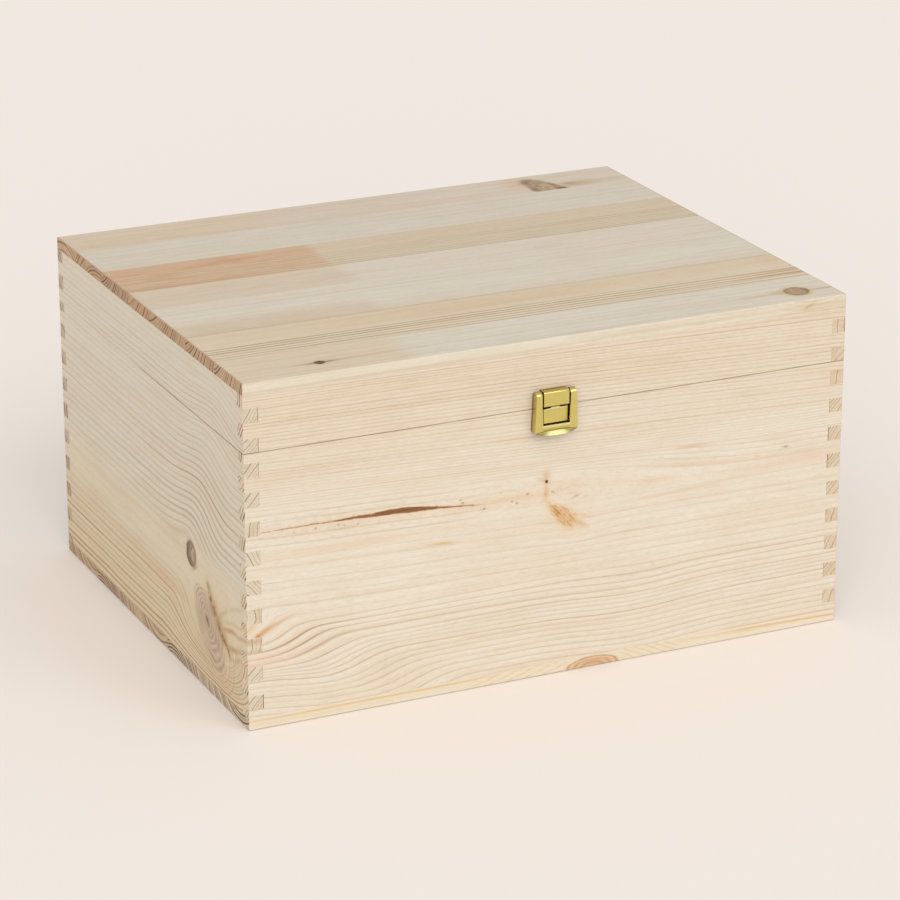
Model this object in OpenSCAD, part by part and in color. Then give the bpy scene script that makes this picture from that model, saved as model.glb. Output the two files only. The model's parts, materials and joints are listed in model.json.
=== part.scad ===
// Wooden box with a hinged lid, finger-jointed corners and a snap latch.
// The origin is the centre of the underside. X runs along the width,
// -Y is the front with the latch, +Y is the back with the hinges, Z is up.

/* [Box] */
// Outer width of the box
box_w = 350; // [320:1:420]
// Outer depth of the box, without the latch and the hinges
box_d = 280; // [240:1:320]
// Outer height of the closed box
box_h = 190; // [180:1:220]
// Thickness of the four walls
wall_t = 8; // [7:0.5:10]
// Thickness of the top and bottom panels
panel_t = 6.5; // [5:0.5:9]
// Height of the lid, from the saw cut to the top
lid_h = 37.5; // [34:0.5:50]

/* [Finger joints] */
// Height of one finger
finger = 8; // [6:0.5:10]
// Height of the short finger at the foot of the front and back walls
first_finger = 4.8; // [3:0.1:8]
// Gap left at the inner end of each slot
slot_gap = 0.5; // [0.2:0.1:0.8]

/* [Hinges] */
// Distance of each hinge's middle from the middle of the box
hinge_x = 110; // [60:1:130]
// Length of a hinge along its pin
hinge_l = 30; // [24:1:40]
// Height of a leaf, from the pin's axis to its free edge
leaf_h = 12; // [11:0.5:15]
// Thickness of a leaf
leaf_t = 1.0; // [0.8:0.1:1.2]
// Radius of the knuckles
knuckle_r = 2.3; // [2.1:0.1:2.6]
// Radius of the hinge pins
hinge_pin_r = 0.9; // [0.8:0.1:1.1]

/* [Latch] */
// Position of the latch's middle from the middle of the box
latch_x = -1.6; // [-10:0.1:10]
// Thickness of the latch's sheet metal
sheet = 0.6; // [0.5:0.1:0.7]
// Width of the plates in the latch's window
plate_w = 14.8; // [14:0.2:15.2]
// Radius of the latch's pin
latch_pin_r = 0.8; // [0.7:0.05:0.9]

/* [Hidden] */
$fn = 48;

saw_z = box_h - lid_h;              // plane of the saw cut
wall_top = box_h - panel_t;         // top of the lid's walls
x0 = -box_w / 2;
y0 = -box_d / 2;
slot = wall_t + slot_gap;           // depth of a finger slot
run_gap = 0.05;                     // radial gap of a pin in its bore

// Strip edges of the two glued panels, as parts of the box's depth from the back
LID_CUTS = [0, 33/280, 74/280, 116/280, 148/280, 201/280, 242/280, 1];
BOTTOM_CUTS = [0, 50/280, 107/280, 162/280, 223/280, 1];

// Wood tones
PINE = [0.91, 0.83, 0.71];
PINE_SIDE = [0.82, 0.76, 0.65];
PINE_TOP = [0.84, 0.78, 0.69];
PINE_WARM = [0.86, 0.72, 0.56];
PINE_EDGE = [0.90, 0.78, 0.58];
BRASS = [0.78, 0.69, 0.34];
STEEL = [0.72, 0.70, 0.62];

// Height bands [low, high] where the side walls' fingers reach through to
// the front and back faces, in the base and in the lid. The bands between
// them belong to the front and back walls.
function base_bands() = [
  for (k = [0 : 20])
    let (a = panel_t + first_finger + 2 * finger * k, b = min(a + finger, saw_z))
    if (b - a > 1) [a, b]
];
function lid_bands() = [
  for (k = [0 : 4])
    let (a = saw_z + 2 * finger * k, b = min(a + finger, wall_top))
    if (b - a > 1) [a, b]
];
// The bands between them, from one height to another
function gaps(bands, low, high) = [
  for (k = [0 : len(bands)])
    let (a = k == 0 ? low : bands[k - 1][1], b = k == len(bands) ? high : bands[k][0])
    if (b - a > 0.01) [a, b]
];
// A slot that starts at the wall's lower edge runs a little past it
function past(a, low) = a < low + 0.01 ? low - 1 : a;

// ---------- wooden walls ----------

// A front wall; the back wall is its mirror image
module long_wall(z_low, z_high, bands) {
  difference() {
    translate([x0, y0, z_low]) cube([box_w, wall_t, z_high - z_low]);
    for (b = bands, s = [-1, 1])
      translate([s * (box_w / 2 - slot / 2 + 0.5) - slot / 2 - 0.5, y0 - 1, past(b[0], z_low)])
        cube([slot + 1, wall_t + 2, b[1] - past(b[0], z_low)]);
  }
}

// A left wall; the right wall is its mirror image
module short_wall(z_low, z_high, bands) {
  difference() {
    translate([x0, y0, z_low]) cube([wall_t, box_d, z_high - z_low]);
    for (b = bands, s = [-1, 1])
      translate([x0 - 1, s * (box_d / 2 - slot / 2 + 0.5) - slot / 2 - 0.5, b[0]])
        cube([wall_t + 2, slot + 1, b[1] - b[0]]);
  }
}

module panel_strip(cuts, k, z) {
  translate([x0, box_d / 2 - cuts[k + 1] * box_d, z])
    cube([box_w, (cuts[k + 1] - cuts[k]) * box_d, panel_t]);
}

// ---------- placing helpers ----------

// Local x stays x, local y is the height above the saw cut, local z points out of the front face
module on_front() translate([latch_x, y0, saw_z]) rotate([90, 0, 0]) children();
// Local x stays x, local y is the height above the saw cut, local z points out of the back face
module on_back() translate([0, box_d / 2, saw_z]) rotate([90, 0, 0]) mirror([0, 0, 1]) children();
// Extrudes a profile drawn as (distance from the face, height) along x
module along_x(l) rotate([0, -90, 0]) linear_extrude(l, center = true) children();

// ---------- hinges ----------

hinge_axis = knuckle_r + 0.1;       // pin axis, out from the back face
clear_h = knuckle_r + 0.4;          // the plate stays this far from the axis
knuckle_gap = 0.2;
knuckle_l = (hinge_l - 2 * knuckle_gap) / 3;
screw_x = hinge_l / 2 - 6;
screw_h = (leaf_h + clear_h) / 2;   // height of the screws from the pin's axis
screw_r = 1.1;
head_r = 2.1;
screw_l = wall_t - 1.5;

// A leaf that hangs down from the axis; "which" lists its knuckles of 0, 1, 2
module leaf(xm, which) {
  difference() {
    union() {
      translate([xm - hinge_l / 2, -leaf_h, 0]) cube([hinge_l, leaf_h - clear_h, leaf_t]);
      for (k = which) {
        translate([xm - hinge_l / 2 + k * (knuckle_l + knuckle_gap), -clear_h - 0.5, 0])
          cube([knuckle_l, clear_h + 0.5, leaf_t]);
        translate([xm - hinge_l / 2 + k * (knuckle_l + knuckle_gap), 0, hinge_axis])
          rotate([0, 90, 0]) cylinder(h = knuckle_l, r = knuckle_r);
      }
    }
    translate([xm - hinge_l, 0, hinge_axis]) rotate([0, 90, 0]) cylinder(h = 2 * hinge_l, r = hinge_pin_r + run_gap);
    for (s = [-1, 1]) translate([xm + s * screw_x, -screw_h, 0]) {
      translate([0, 0, -1]) cylinder(h = leaf_t + 2, r = screw_r + 0.1);
      translate([0, 0, 0]) cylinder(h = leaf_t, r1 = screw_r + 0.1, r2 = head_r + 0.1);
      translate([0, 0, leaf_t - 0.001]) cylinder(h = 1, r = head_r + 0.1);
    }
  }
}

module base_leaf(s) on_back() leaf(s * hinge_x, [0, 2]);
module lid_leaf(s) on_back() mirror([0, 1, 0]) leaf(s * hinge_x, [1]);

module hinge_pin(s)
  on_back() translate([s * hinge_x - hinge_l / 2 - 0.4, 0, hinge_axis])
    rotate([0, 90, 0]) cylinder(h = hinge_l + 0.8, r = hinge_pin_r);

// Countersunk screw, its head flush with the leaf; the screw runs into the wood
module screw() {
  difference() {
    union() {
      cylinder(h = leaf_t - 0.05, r1 = screw_r, r2 = head_r);
      translate([0, 0, 0.02 - screw_l]) cylinder(h = screw_l, r = screw_r);
      translate([0, 0, -screw_l - 0.98]) cylinder(h = 1, r1 = 0.2, r2 = screw_r);
    }
    translate([-3, -0.25, leaf_t - 0.5]) cube([6, 0.5, 1]);
  }
}

module screws(side) {
  for (s = [-1, 1], t = [-1, 1])
    on_back() translate([s * hinge_x + t * screw_x, side * screw_h, 0])
      rotate([0, 0, 25 + 40 * s - 65 * t]) screw();
}

module screw_holes(side) {
  for (s = [-1, 1], t = [-1, 1])
    on_back() translate([s * hinge_x + t * screw_x, side * screw_h, -wall_t + 0.4])
      cylinder(h = wall_t, r = screw_r + 0.02);
}

// ---------- latch ----------

front_d = 5.5;                      // face of the latch frame, out from the front wall
pin_d = 2.9;                        // axis of the latch pin, out from the front wall
pin_h = 7.5;                        // axis of the latch pin, above the saw cut
top_h = pin_h + 2.6;                // top of the latch
catch_d = 3.8;                      // face of the catch plate
window_w = 16.3;                    // width of the frame's window
frame_top_w = 22.8;
frame_low_w = 25.0;
bar_h = -8.3;                       // top of the frame's lower bar
lip_h = -13.7;                      // lowest point of the thumb lip
prong_x = 4.5;
prong_l = 5.5;

module prongs(h, grow = 0) {
  for (s = [-1, 1])
    translate([s * prong_x - 0.8 - grow, h - 0.3 - grow, -prong_l - grow])
      cube([1.6 + 2 * grow, 0.6 + 2 * grow, prong_l + grow + 0.01]);
}

// Folded sheet: back leaf, rolled top and front panel, with two cheeks that carry the pin
module lid_plate_body() {
  difference() {
    union() {
      along_x(plate_w) difference() {
        union() {
          translate([0, 2.1]) square([front_d - 1.1, top_h - 2.1]);
          translate([0, 2.1]) square([front_d - 0.1, top_h - 3.1]);
          translate([0, 0.8]) square([sheet, 3]);
          translate([front_d - 1.1, top_h - 1]) circle(r = 1);
        }
        translate([sheet, -1]) square([front_d - 0.1 - 2 * sheet, top_h - sheet + 1]);
      }
      for (s = [-1, 1]) translate([s * (plate_w / 2 - sheet / 2), 0, 0]) along_x(sheet) {
        translate([0.1, 3.5]) square([front_d - 0.4, top_h - 4.6]);
      }
    }
    translate([-plate_w, pin_h, pin_d]) rotate([0, 90, 0]) cylinder(h = 2 * plate_w, r = latch_pin_r + 0.03);
  }
  prongs(4.6);
}

// Folded sheet: back leaf, bottom fold and front panel with a small tongue on top
module catch_plate_body() {
  along_x(plate_w) difference() {
    translate([0, -7.6]) square([catch_d, 8.5]);
    translate([sheet, -7.6 + sheet]) square([catch_d - 2 * sheet, 12]);
    translate([-1, -0.3]) square([1 + 2 * sheet, 3]);
  }
  for (s = [-1, 1]) translate([s * (plate_w / 2 - sheet / 2), 0, 0]) along_x(sheet)
    translate([0.1, -7.4]) square([catch_d - 0.3, 6.6]);
  translate([-2.5, 0.5, catch_d - sheet]) cube([5, 1.4, sheet]);
  prongs(-4);
}

// Side view of the frame's arms, as (distance, height): rounded about the pin
module arm_side(shrink = 0) {
  translate([0.4, -12]) square([front_d - 0.4 - shrink, 12 + pin_h]);
  translate([pin_d, pin_h]) circle(r = front_d - pin_d - shrink);
}

// Front view of the frame: s = 1 is the right half's outer edge
function edge_x(h) = (frame_low_w + (frame_top_w - frame_low_w) * (h + 12) / (top_h + 12)) / 2;

module frame_body() {
  difference() {
    union() {
      // the two arms' front strips, rolled over at the top
      intersection() {
        for (s = [-1, 1]) linear_extrude(8)
          polygon([[s * window_w / 2, -11], [s * window_w / 2, top_h + 1],
                   [s * edge_x(top_h), top_h + 1], [s * edge_x(-11), -11]]);
        along_x(40) difference() {
          arm_side();
          translate([-3, -20]) square([3 + front_d - sheet, 20 + pin_h]);
          translate([pin_d, pin_h]) circle(r = front_d - pin_d - sheet);
          translate([-3, pin_h - 0.01]) square([3 + pin_d - 1, 5]);
        }
      }
      // the two side flanges
      intersection() {
        for (s = [-1, 1]) linear_extrude(8)
          polygon([[s * (edge_x(-12) - sheet), -12], [s * (edge_x(top_h) - sheet), top_h + 1],
                   [s * edge_x(top_h), top_h + 1], [s * edge_x(-12), -12]]);
        along_x(40) arm_side();
      }
      // the lower bar
      translate([0, 0, front_d - sheet]) linear_extrude(sheet)
        polygon([[-edge_x(bar_h), bar_h], [edge_x(bar_h), bar_h], [edge_x(-12), -12], [-edge_x(-12), -12]]);
      // its edge, bent in towards the catch plate
      translate([-window_w / 2, bar_h - sheet, 4.3]) cube([window_w, sheet, front_d - 4.3]);
      // the thumb lip, flared outwards
      intersection() {
        along_x(40) polygon([[front_d - sheet, -11], [front_d, -11], [front_d + 0.5, -11.9], [front_d + 1.4, lip_h],
                             [front_d + 0.9, lip_h], [front_d - 0.1, -12.2], [front_d - sheet, -11.8]]);
        translate([0, 46.3, 0]) cylinder(h = 8, r = 60, $fn = 160);
        translate([-edge_x(-12), -20, 0]) cube([2 * edge_x(-12), 20, 8]);
      }
    }
    translate([-20, pin_h, pin_d]) rotate([0, 90, 0]) cylinder(h = 40, r = latch_pin_r + run_gap);
  }
}

// ---------- one module per piece ----------

module base_front_wall() color(PINE) difference() {
  long_wall(panel_t, saw_z, base_bands());
  on_front() prongs(-4, 0.02);
}
module base_back_wall() color(PINE) difference() {
  mirror([0, 1, 0]) long_wall(panel_t, saw_z, base_bands());
  screw_holes(-1);
}
module base_left_wall() color(PINE_SIDE) short_wall(panel_t, saw_z, gaps(base_bands(), panel_t - 1, saw_z + 1));
module base_right_wall() color(PINE_SIDE) mirror([1, 0, 0]) short_wall(panel_t, saw_z, gaps(base_bands(), panel_t - 1, saw_z + 1));

module bottom_board_1() color(PINE) panel_strip(BOTTOM_CUTS, 0, 0);
module bottom_board_2() color(PINE_TOP) panel_strip(BOTTOM_CUTS, 1, 0);
module bottom_board_3() color(PINE) panel_strip(BOTTOM_CUTS, 2, 0);
module bottom_board_4() color(PINE_TOP) panel_strip(BOTTOM_CUTS, 3, 0);
module bottom_board_5() color(PINE_EDGE) panel_strip(BOTTOM_CUTS, 4, 0);

module lid_front_wall() color(PINE) difference() {
  long_wall(saw_z, wall_top, lid_bands());
  on_front() prongs(4.6, 0.02);
}
module lid_back_wall() color(PINE) difference() {
  mirror([0, 1, 0]) long_wall(saw_z, wall_top, lid_bands());
  screw_holes(1);
}
module lid_left_wall() color(PINE_SIDE) short_wall(saw_z, wall_top, gaps(lid_bands(), saw_z, wall_top + 1));
module lid_right_wall() color(PINE_SIDE) mirror([1, 0, 0]) short_wall(saw_z, wall_top, gaps(lid_bands(), saw_z, wall_top + 1));

module lid_board_1() color(PINE_TOP) panel_strip(LID_CUTS, 0, wall_top);
module lid_board_2() color([0.83, 0.80, 0.71]) panel_strip(LID_CUTS, 1, wall_top);
module lid_board_3() color(PINE_WARM) panel_strip(LID_CUTS, 2, wall_top);
module lid_board_4() color(PINE_TOP) panel_strip(LID_CUTS, 3, wall_top);
module lid_board_5() color([0.84, 0.80, 0.73]) panel_strip(LID_CUTS, 4, wall_top);
module lid_board_6() color([0.85, 0.78, 0.63]) panel_strip(LID_CUTS, 5, wall_top);
module lid_board_7() color([0.84, 0.80, 0.72]) panel_strip(LID_CUTS, 6, wall_top);

module left_hinge_base_leaf() color(BRASS) base_leaf(-1);
module left_hinge_lid_leaf() color(BRASS) lid_leaf(-1);
module left_hinge_pin() color(STEEL) hinge_pin(-1);
module right_hinge_base_leaf() color(BRASS) base_leaf(1);
module right_hinge_lid_leaf() color(BRASS) lid_leaf(1);
module right_hinge_pin() color(STEEL) hinge_pin(1);
module base_hinge_screws() color(BRASS) screws(-1);
module lid_hinge_screws() color(BRASS) screws(1);

module latch_lid_plate() color(BRASS) on_front() lid_plate_body();
module latch_pin() color(STEEL) on_front() translate([-frame_top_w / 2 + 0.05, pin_h, pin_d])
  rotate([0, 90, 0]) cylinder(h = frame_top_w - 0.1, r = latch_pin_r);
module latch_frame() color(BRASS) on_front() frame_body();
module latch_catch_plate() color(BRASS) on_front() catch_plate_body();

base_front_wall();
base_back_wall();
base_left_wall();
base_right_wall();
bottom_board_1();
bottom_board_2();
bottom_board_3();
bottom_board_4();
bottom_board_5();
lid_front_wall();
lid_back_wall();
lid_left_wall();
lid_right_wall();
lid_board_1();
lid_board_2();
lid_board_3();
lid_board_4();
lid_board_5();
lid_board_6();
lid_board_7();
left_hinge_base_leaf();
left_hinge_lid_leaf();
left_hinge_pin();
right_hinge_base_leaf();
right_hinge_lid_leaf();
right_hinge_pin();
base_hinge_screws();
lid_hinge_screws();
latch_lid_plate();
latch_pin();
latch_frame();
latch_catch_plate();
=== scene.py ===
import json
import math

import bpy
import bmesh
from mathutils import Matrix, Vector


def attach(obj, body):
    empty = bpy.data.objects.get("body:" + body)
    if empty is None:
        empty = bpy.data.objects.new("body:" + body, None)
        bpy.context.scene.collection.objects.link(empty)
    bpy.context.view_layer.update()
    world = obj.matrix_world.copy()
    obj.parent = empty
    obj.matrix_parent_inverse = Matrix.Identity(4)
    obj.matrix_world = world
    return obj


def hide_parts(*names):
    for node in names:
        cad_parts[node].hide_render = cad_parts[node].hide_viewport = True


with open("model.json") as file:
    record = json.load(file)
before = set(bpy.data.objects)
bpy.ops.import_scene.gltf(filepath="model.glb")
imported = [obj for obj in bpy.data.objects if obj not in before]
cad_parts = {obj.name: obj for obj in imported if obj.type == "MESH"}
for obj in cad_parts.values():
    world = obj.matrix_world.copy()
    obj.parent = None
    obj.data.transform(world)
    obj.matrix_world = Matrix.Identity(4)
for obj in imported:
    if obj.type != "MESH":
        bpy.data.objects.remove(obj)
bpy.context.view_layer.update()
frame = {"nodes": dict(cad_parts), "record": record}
NODES = frame["nodes"]
BODY_OF = {n: b for b, ns in frame["record"]["behaviour"]["bodies"].items() for n in ns}
MM = 0.001

# Sizes of the box in millimetres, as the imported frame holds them
X1, Y1, Z1 = 175.0, 140.0, 190.0
SAW = 152.5
PANEL = 6.5
WALL = 8.0


# ---------------------------------------------------------------- node maths

def lin(c, gain=1.0):
    """An sRGB colour of 0 to 255 as linear RGBA."""
    out = []
    for v in c:
        v = v / 255.0
        out.append(gain * (v / 12.92 if v <= 0.04045 else ((v + 0.055) / 1.055) ** 2.4))
    return (*out, 1.0)


def wc(*c):
    """A wood colour as it looks in the studio light, turned into the wood's own colour."""
    return lin(c, 0.84)


class Num:
    """A number in a node tree. Arithmetic on it adds Math nodes."""

    def __init__(self, nt, out):
        self.nt, self.out = nt, out

    def __add__(self, b):
        return op(self.nt, "ADD", self, b)

    __radd__ = __add__

    def __sub__(self, b):
        return op(self.nt, "SUBTRACT", self, b)

    def __rsub__(self, b):
        return op(self.nt, "SUBTRACT", b, self)

    def __mul__(self, b):
        return op(self.nt, "MULTIPLY", self, b)

    __rmul__ = __mul__

    def __truediv__(self, b):
        return op(self.nt, "DIVIDE", self, b)

    def __neg__(self):
        return op(self.nt, "MULTIPLY", self, -1.0)


def put(nt, value, socket):
    if isinstance(value, Num):
        nt.links.new(value.out, socket)
    else:
        socket.default_value = value


def op(nt, name, *args, clamp=False):
    n = nt.nodes.new("ShaderNodeMath")
    n.operation = name
    n.use_clamp = clamp
    for i, a in enumerate(args):
        put(nt, a, n.inputs[i])
    return Num(nt, n.outputs[0])


def clamp01(a):
    return op(a.nt, "ADD", a, 0.0, clamp=True)


def fract(a):
    return op(a.nt, "FRACT", a)


def absol(a):
    return op(a.nt, "ABSOLUTE", a)


def least(a, b):
    return op((a if isinstance(a, Num) else b).nt, "MINIMUM", a, b)


def most(a, b):
    return op((a if isinstance(a, Num) else b).nt, "MAXIMUM", a, b)


def step(a, low, high):
    """0 below low, 1 above high, smooth between. low may be above high."""
    n = a.nt.nodes.new("ShaderNodeMapRange")
    n.interpolation_type = "SMOOTHSTEP"
    n.inputs["From Min"].default_value = min(low, high)
    n.inputs["From Max"].default_value = max(low, high)
    n.inputs["To Min"].default_value = 0.0 if low < high else 1.0
    n.inputs["To Max"].default_value = 1.0 if low < high else 0.0
    a.nt.links.new(a.out, n.inputs["Value"])
    return Num(a.nt, n.outputs["Result"])


GROUPS = {}


def call(nt, name, build, *args):
    """Adds a node group of numbers in and one number out. build makes its inside the first time."""
    if name not in GROUPS:
        g = bpy.data.node_groups.new(name, "ShaderNodeTree")
        for i in range(len(args)):
            g.interface.new_socket(name=chr(97 + i), in_out="INPUT", socket_type="NodeSocketFloat")
        g.interface.new_socket(name="result", in_out="OUTPUT", socket_type="NodeSocketFloat")
        enter, leave = g.nodes.new("NodeGroupInput"), g.nodes.new("NodeGroupOutput")
        inside = build(*[Num(g, enter.outputs[i]) for i in range(len(args))])
        g.links.new(inside.out, leave.inputs[0])
        GROUPS[name] = g
    n = nt.nodes.new("ShaderNodeGroup")
    n.node_tree = GROUPS[name]
    for i, a in enumerate(args):
        put(nt, a, n.inputs[i])
    return Num(nt, n.outputs[0])


def root(a):
    return op(a.nt, "SQRT", a)


def bell1(a, centre, width):
    t = (a - centre) / width
    return op(a.nt, "EXPONENT", -(t * t))


def oval2(a, b, ca, cb, wa, wb, c, s):
    da, db = a - ca, b - cb
    ta, tb = (da * c + db * s) / wa, (db * c - da * s) / wb
    return ta * ta + tb * tb


def bell2(*v):
    return op(v[0].nt, "EXPONENT", -oval2(*v))


def turned(turn):
    return math.cos(math.radians(turn)), math.sin(math.radians(turn))


def bump1(a, centre, width):
    """A bell of height 1."""
    return call(a.nt, "bell", bell1, a, centre, width)


def bump2(a, b, ca, cb, wa, wb, turn=0.0):
    """A bell over two numbers, turned by an angle in degrees."""
    return call(a.nt, "bell_2d", bell2, a, b, ca, cb, wa, wb, *turned(turn))


def oval(a, b, ca, cb, wa, wb, turn=0.0):
    """The distance from a turned oval's middle, 1 on its outline."""
    return call(a.nt, "oval", lambda *v: root(oval2(*v)), a, b, ca, cb, wa, wb, *turned(turn))


def stroke(a, b, a0, b0, a1, b1, width, blur=1.0):
    """1 on the straight line between two points, falling off over its width, with faded ends."""
    length, turn = math.hypot(a1 - a0, b1 - b0), math.degrees(math.atan2(b1 - b0, a1 - a0))

    def build(a, b, ca, cb, half, width, c, s):
        da, db = a - ca, b - cb
        along, across = absol(da * c + db * s) / half, (db * c - da * s) / width
        return op(a.nt, "EXPONENT", -(across * across + along * along * along * along))
    return call(a.nt, "stroke", build, a, b, (a0 + a1) / 2, (b0 + b1) / 2, length / 2 * blur, width, *turned(turn))


def combine(nt, x, y, z):
    n = nt.nodes.new("ShaderNodeCombineXYZ")
    for i, a in enumerate((x, y, z)):
        put(nt, a, n.inputs[i])
    return n.outputs[0]


def noise(nt, x, y, z, detail=2.0, rough=0.5, distort=0.0):
    """Smooth noise of 0 to 1 over three numbers, with features about 1 across."""
    n = nt.nodes.new("ShaderNodeTexNoise")
    n.noise_dimensions = "3D"
    n.inputs["Scale"].default_value = 1.0
    n.inputs["Detail"].default_value = detail
    n.inputs["Roughness"].default_value = rough
    n.inputs["Distortion"].default_value = distort
    nt.links.new(combine(nt, x, y, z), n.inputs["Vector"])
    return Num(nt, n.outputs[0])


def white(nt, w, seed=0.0):
    """One random number of 0 to 1 for each value of w."""
    n = nt.nodes.new("ShaderNodeTexWhiteNoise")
    n.noise_dimensions = "2D"
    nt.links.new(combine(nt, w, seed, 0.0), n.inputs["Vector"])
    return Num(nt, n.outputs["Value"])


class Col:
    def __init__(self, nt, out):
        self.nt, self.out = nt, out


def put_col(nt, value, socket):
    if isinstance(value, Col):
        nt.links.new(value.out, socket)
    else:
        socket.default_value = value


def blendc(nt, how, fac, a, b):
    """Mixes colour b into colour a by fac, in Blender's mode of that name."""
    n = nt.nodes.new("ShaderNodeMix")
    n.data_type = "RGBA"
    n.blend_type = how
    n.clamp_factor = True
    put(nt, fac, n.inputs[0])
    put_col(nt, a, n.inputs[6])
    put_col(nt, b, n.inputs[7])
    return Col(nt, n.outputs[2])


def mixc(nt, fac, a, b):
    return blendc(nt, "MIX", fac, a, b)


def new_material(name):
    m = bpy.data.materials.new(name)
    m.use_nodes = True
    nt = m.node_tree
    nt.nodes.clear()
    out = nt.nodes.new("ShaderNodeOutputMaterial")
    bsdf = nt.nodes.new("ShaderNodeBsdfPrincipled")
    nt.links.new(bsdf.outputs[0], out.inputs["Surface"])
    return m, nt, bsdf


def coords(nt):
    """The piece's own coordinates at rest, in millimetres, and its own normal."""
    tc = nt.nodes.new("ShaderNodeTexCoord")
    p = nt.nodes.new("ShaderNodeSeparateXYZ")
    nt.links.new(tc.outputs["Object"], p.inputs[0])
    q = nt.nodes.new("ShaderNodeSeparateXYZ")
    nt.links.new(tc.outputs["Normal"], q.inputs[0])
    xyz = [Num(nt, p.outputs[i]) * 1000.0 for i in range(3)]
    nrm = [Num(nt, q.outputs[i]) for i in range(3)]
    return xyz, nrm


# ---------------------------------------------------------------- pine

class Wood:
    """One board's material in the making. x, y, z: the point in mm. nx, ny, nz: the face's direction.
    v: the ring coordinate in mm. t: the same counted in rings. a: the place along the grain."""

    def __init__(self, name, seed):
        self.name, self.seed = name, seed
        self.m, self.nt, self.bsdf = new_material(name)
        (self.x, self.y, self.z), (self.nx, self.ny, self.nz) = coords(self.nt)
        self.gain = 1.0
        self.base = wc(236, 220, 197)
        self.line = wc(212, 186, 152)
        self.shift = 0.0
        self.fine = 1.0
        self.roughness = 0.55
        self.edges = (0.60, 0.86, 0.91, 1.0)

    def noise(self, x, y, z=0.0, detail=2.0, rough=0.5, distort=0.0):
        return noise(self.nt, x, y, z, detail, rough, distort)


def cover(c, fac, colour):
    return mixc(c.nt, fac, c, colour)


def stain(c, fac, colour):
    return blendc(c.nt, "MULTIPLY", fac, c, lin(colour))


def rings(w, jitter=0.22, edges=None):
    """Late wood of 0 to 1, the place across the ring, and a random number for each ring."""
    nt = w.nt
    rough = w.noise(w.a * 0.0045, w.v * 0.17, w.seed, detail=2.0)
    t = w.t + (rough - 0.5) * jitter * 4.0
    num = op(nt, "FLOOR", t) + w.shift
    f = fract(t)
    e = edges or w.edges
    late = step(f, e[0], e[1]) * step(f, e[3], e[2])
    return late, f, white(nt, num, w.seed)


def finger_t(w, first, slant, spacing=2.6):
    """End grain of the finger joints: each finger has strokes of its own slant. first: where the fingers start."""
    nt = w.nt
    k = (w.z - first) / 16.0
    zl = (fract(k) - 0.5) * 16.0
    num = op(nt, "FLOOR", k)
    turn = white(nt, num, w.seed + 1.0)
    across = w.x if abs(w.end_axis) == 1 else w.y
    wob = w.noise(w.x * 0.1, w.z * 0.1, w.y * 0.1)
    return (across * 1.0 + zl * (slant + (turn - 0.5) * 1.3)) / spacing + turn * 3.0 + wob * 1.6


def pine(w, paint=None, end_axis=None, end_base=(214, 196, 172), end_line=(160, 124, 92), end_gain=1.0, end_t=None,
         end_edges=(0.50, 0.80, 0.90, 1.0)):
    """Sanded pine over the ring field that the board's own code has set in w."""
    nt = w.nt
    w.end_axis = end_axis
    if not isinstance(w.base, Col):
        w.base = mixc(nt, 0.0, w.base, w.base)
    late, f, rand = rings(w)
    w.late, w.rand = late, rand
    fade = w.noise(w.a * 0.012, w.v * 0.3, w.seed + 3.0)
    g = late * (rand * 0.62 + 0.30) * (fade * 1.3 + 0.35) * w.gain
    w.g = g
    fibre = w.noise(w.a * 0.035, w.v * 2.3, w.seed + 7.0 + w.deep * 1.1, detail=3.0, rough=0.65)
    pores = w.noise(w.a * 0.20, w.v * 1.5, w.seed + 8.0 + w.deep * 0.9, detail=3.0, rough=0.8)
    cloud = w.noise(w.a * 0.009, w.v * 0.05, w.seed + 11.0)
    band = w.noise(w.a * 0.0025, w.v * 0.21, w.seed + 13.0)
    early = step(f, 0.5, 0.0) * 0.16 * w.gain
    c = mixc(nt, g + early, w.base, w.line)
    c = stain(c, (fibre - 0.44) * 0.75 * w.fine, (226, 210, 190))
    c = stain(c, (pores - 0.46) * 1.5 * w.fine, (226, 215, 200))
    mottle = w.noise(w.a * 0.03, w.v * 0.16, w.seed + 17.0, detail=3.0, rough=0.6)
    c = stain(c, (cloud - 0.45) * 1.2, (248, 240, 228))
    c = stain(c, (mottle - 0.44) * 1.6, (245, 239, 230))
    c = stain(c, (band - 0.5) * 1.5, (248, 233, 217))
    height = g * 0.4 - fibre * 0.35
    if end_axis is not None:
        on_end = step(absol((w.nx, w.ny, w.nz)[end_axis]), 0.6, 0.8)
        w.on_end = on_end
        if end_t is not None:
            keep = w.t, w.shift
            w.t, w.shift = end_t(w), 0.0
            late, f, rand = rings(w, 0.0, end_edges)
            w.t, w.shift = keep
        speck = w.noise(w.x * 1.1, w.y * 1.1, w.z * 1.1, detail=3.0, rough=0.7)
        blot = w.noise(w.x * 0.12, w.y * 0.12, w.z * 0.12 + w.seed)
        ec = mixc(nt, late * (rand * 1.1 - 0.1) * end_gain, wc(*end_base), wc(*end_line))
        ec = stain(ec, (speck - 0.40) * 1.5, (216, 200, 182))
        ec = stain(ec, (blot - 0.42) * 1.6, (236, 220, 202))
        c = mixc(nt, on_end, c, ec)
        height = height * op(nt, "SUBTRACT", 1.0, on_end) - speck * on_end * 0.8
    if paint:
        c = paint(w, c)
    nt.links.new(c.out, w.bsdf.inputs["Base Color"])
    w.bsdf.inputs["Roughness"].default_value = w.roughness
    w.bsdf.inputs["Specular IOR Level"].default_value = 0.30
    bn = nt.nodes.new("ShaderNodeBump")
    bn.inputs["Strength"].default_value = 0.4
    bn.inputs["Distance"].default_value = 0.00012
    nt.links.new(height.out, bn.inputs["Height"])
    nt.links.new(bn.outputs[0], w.bsdf.inputs["Normal"])
    return w.m


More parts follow.
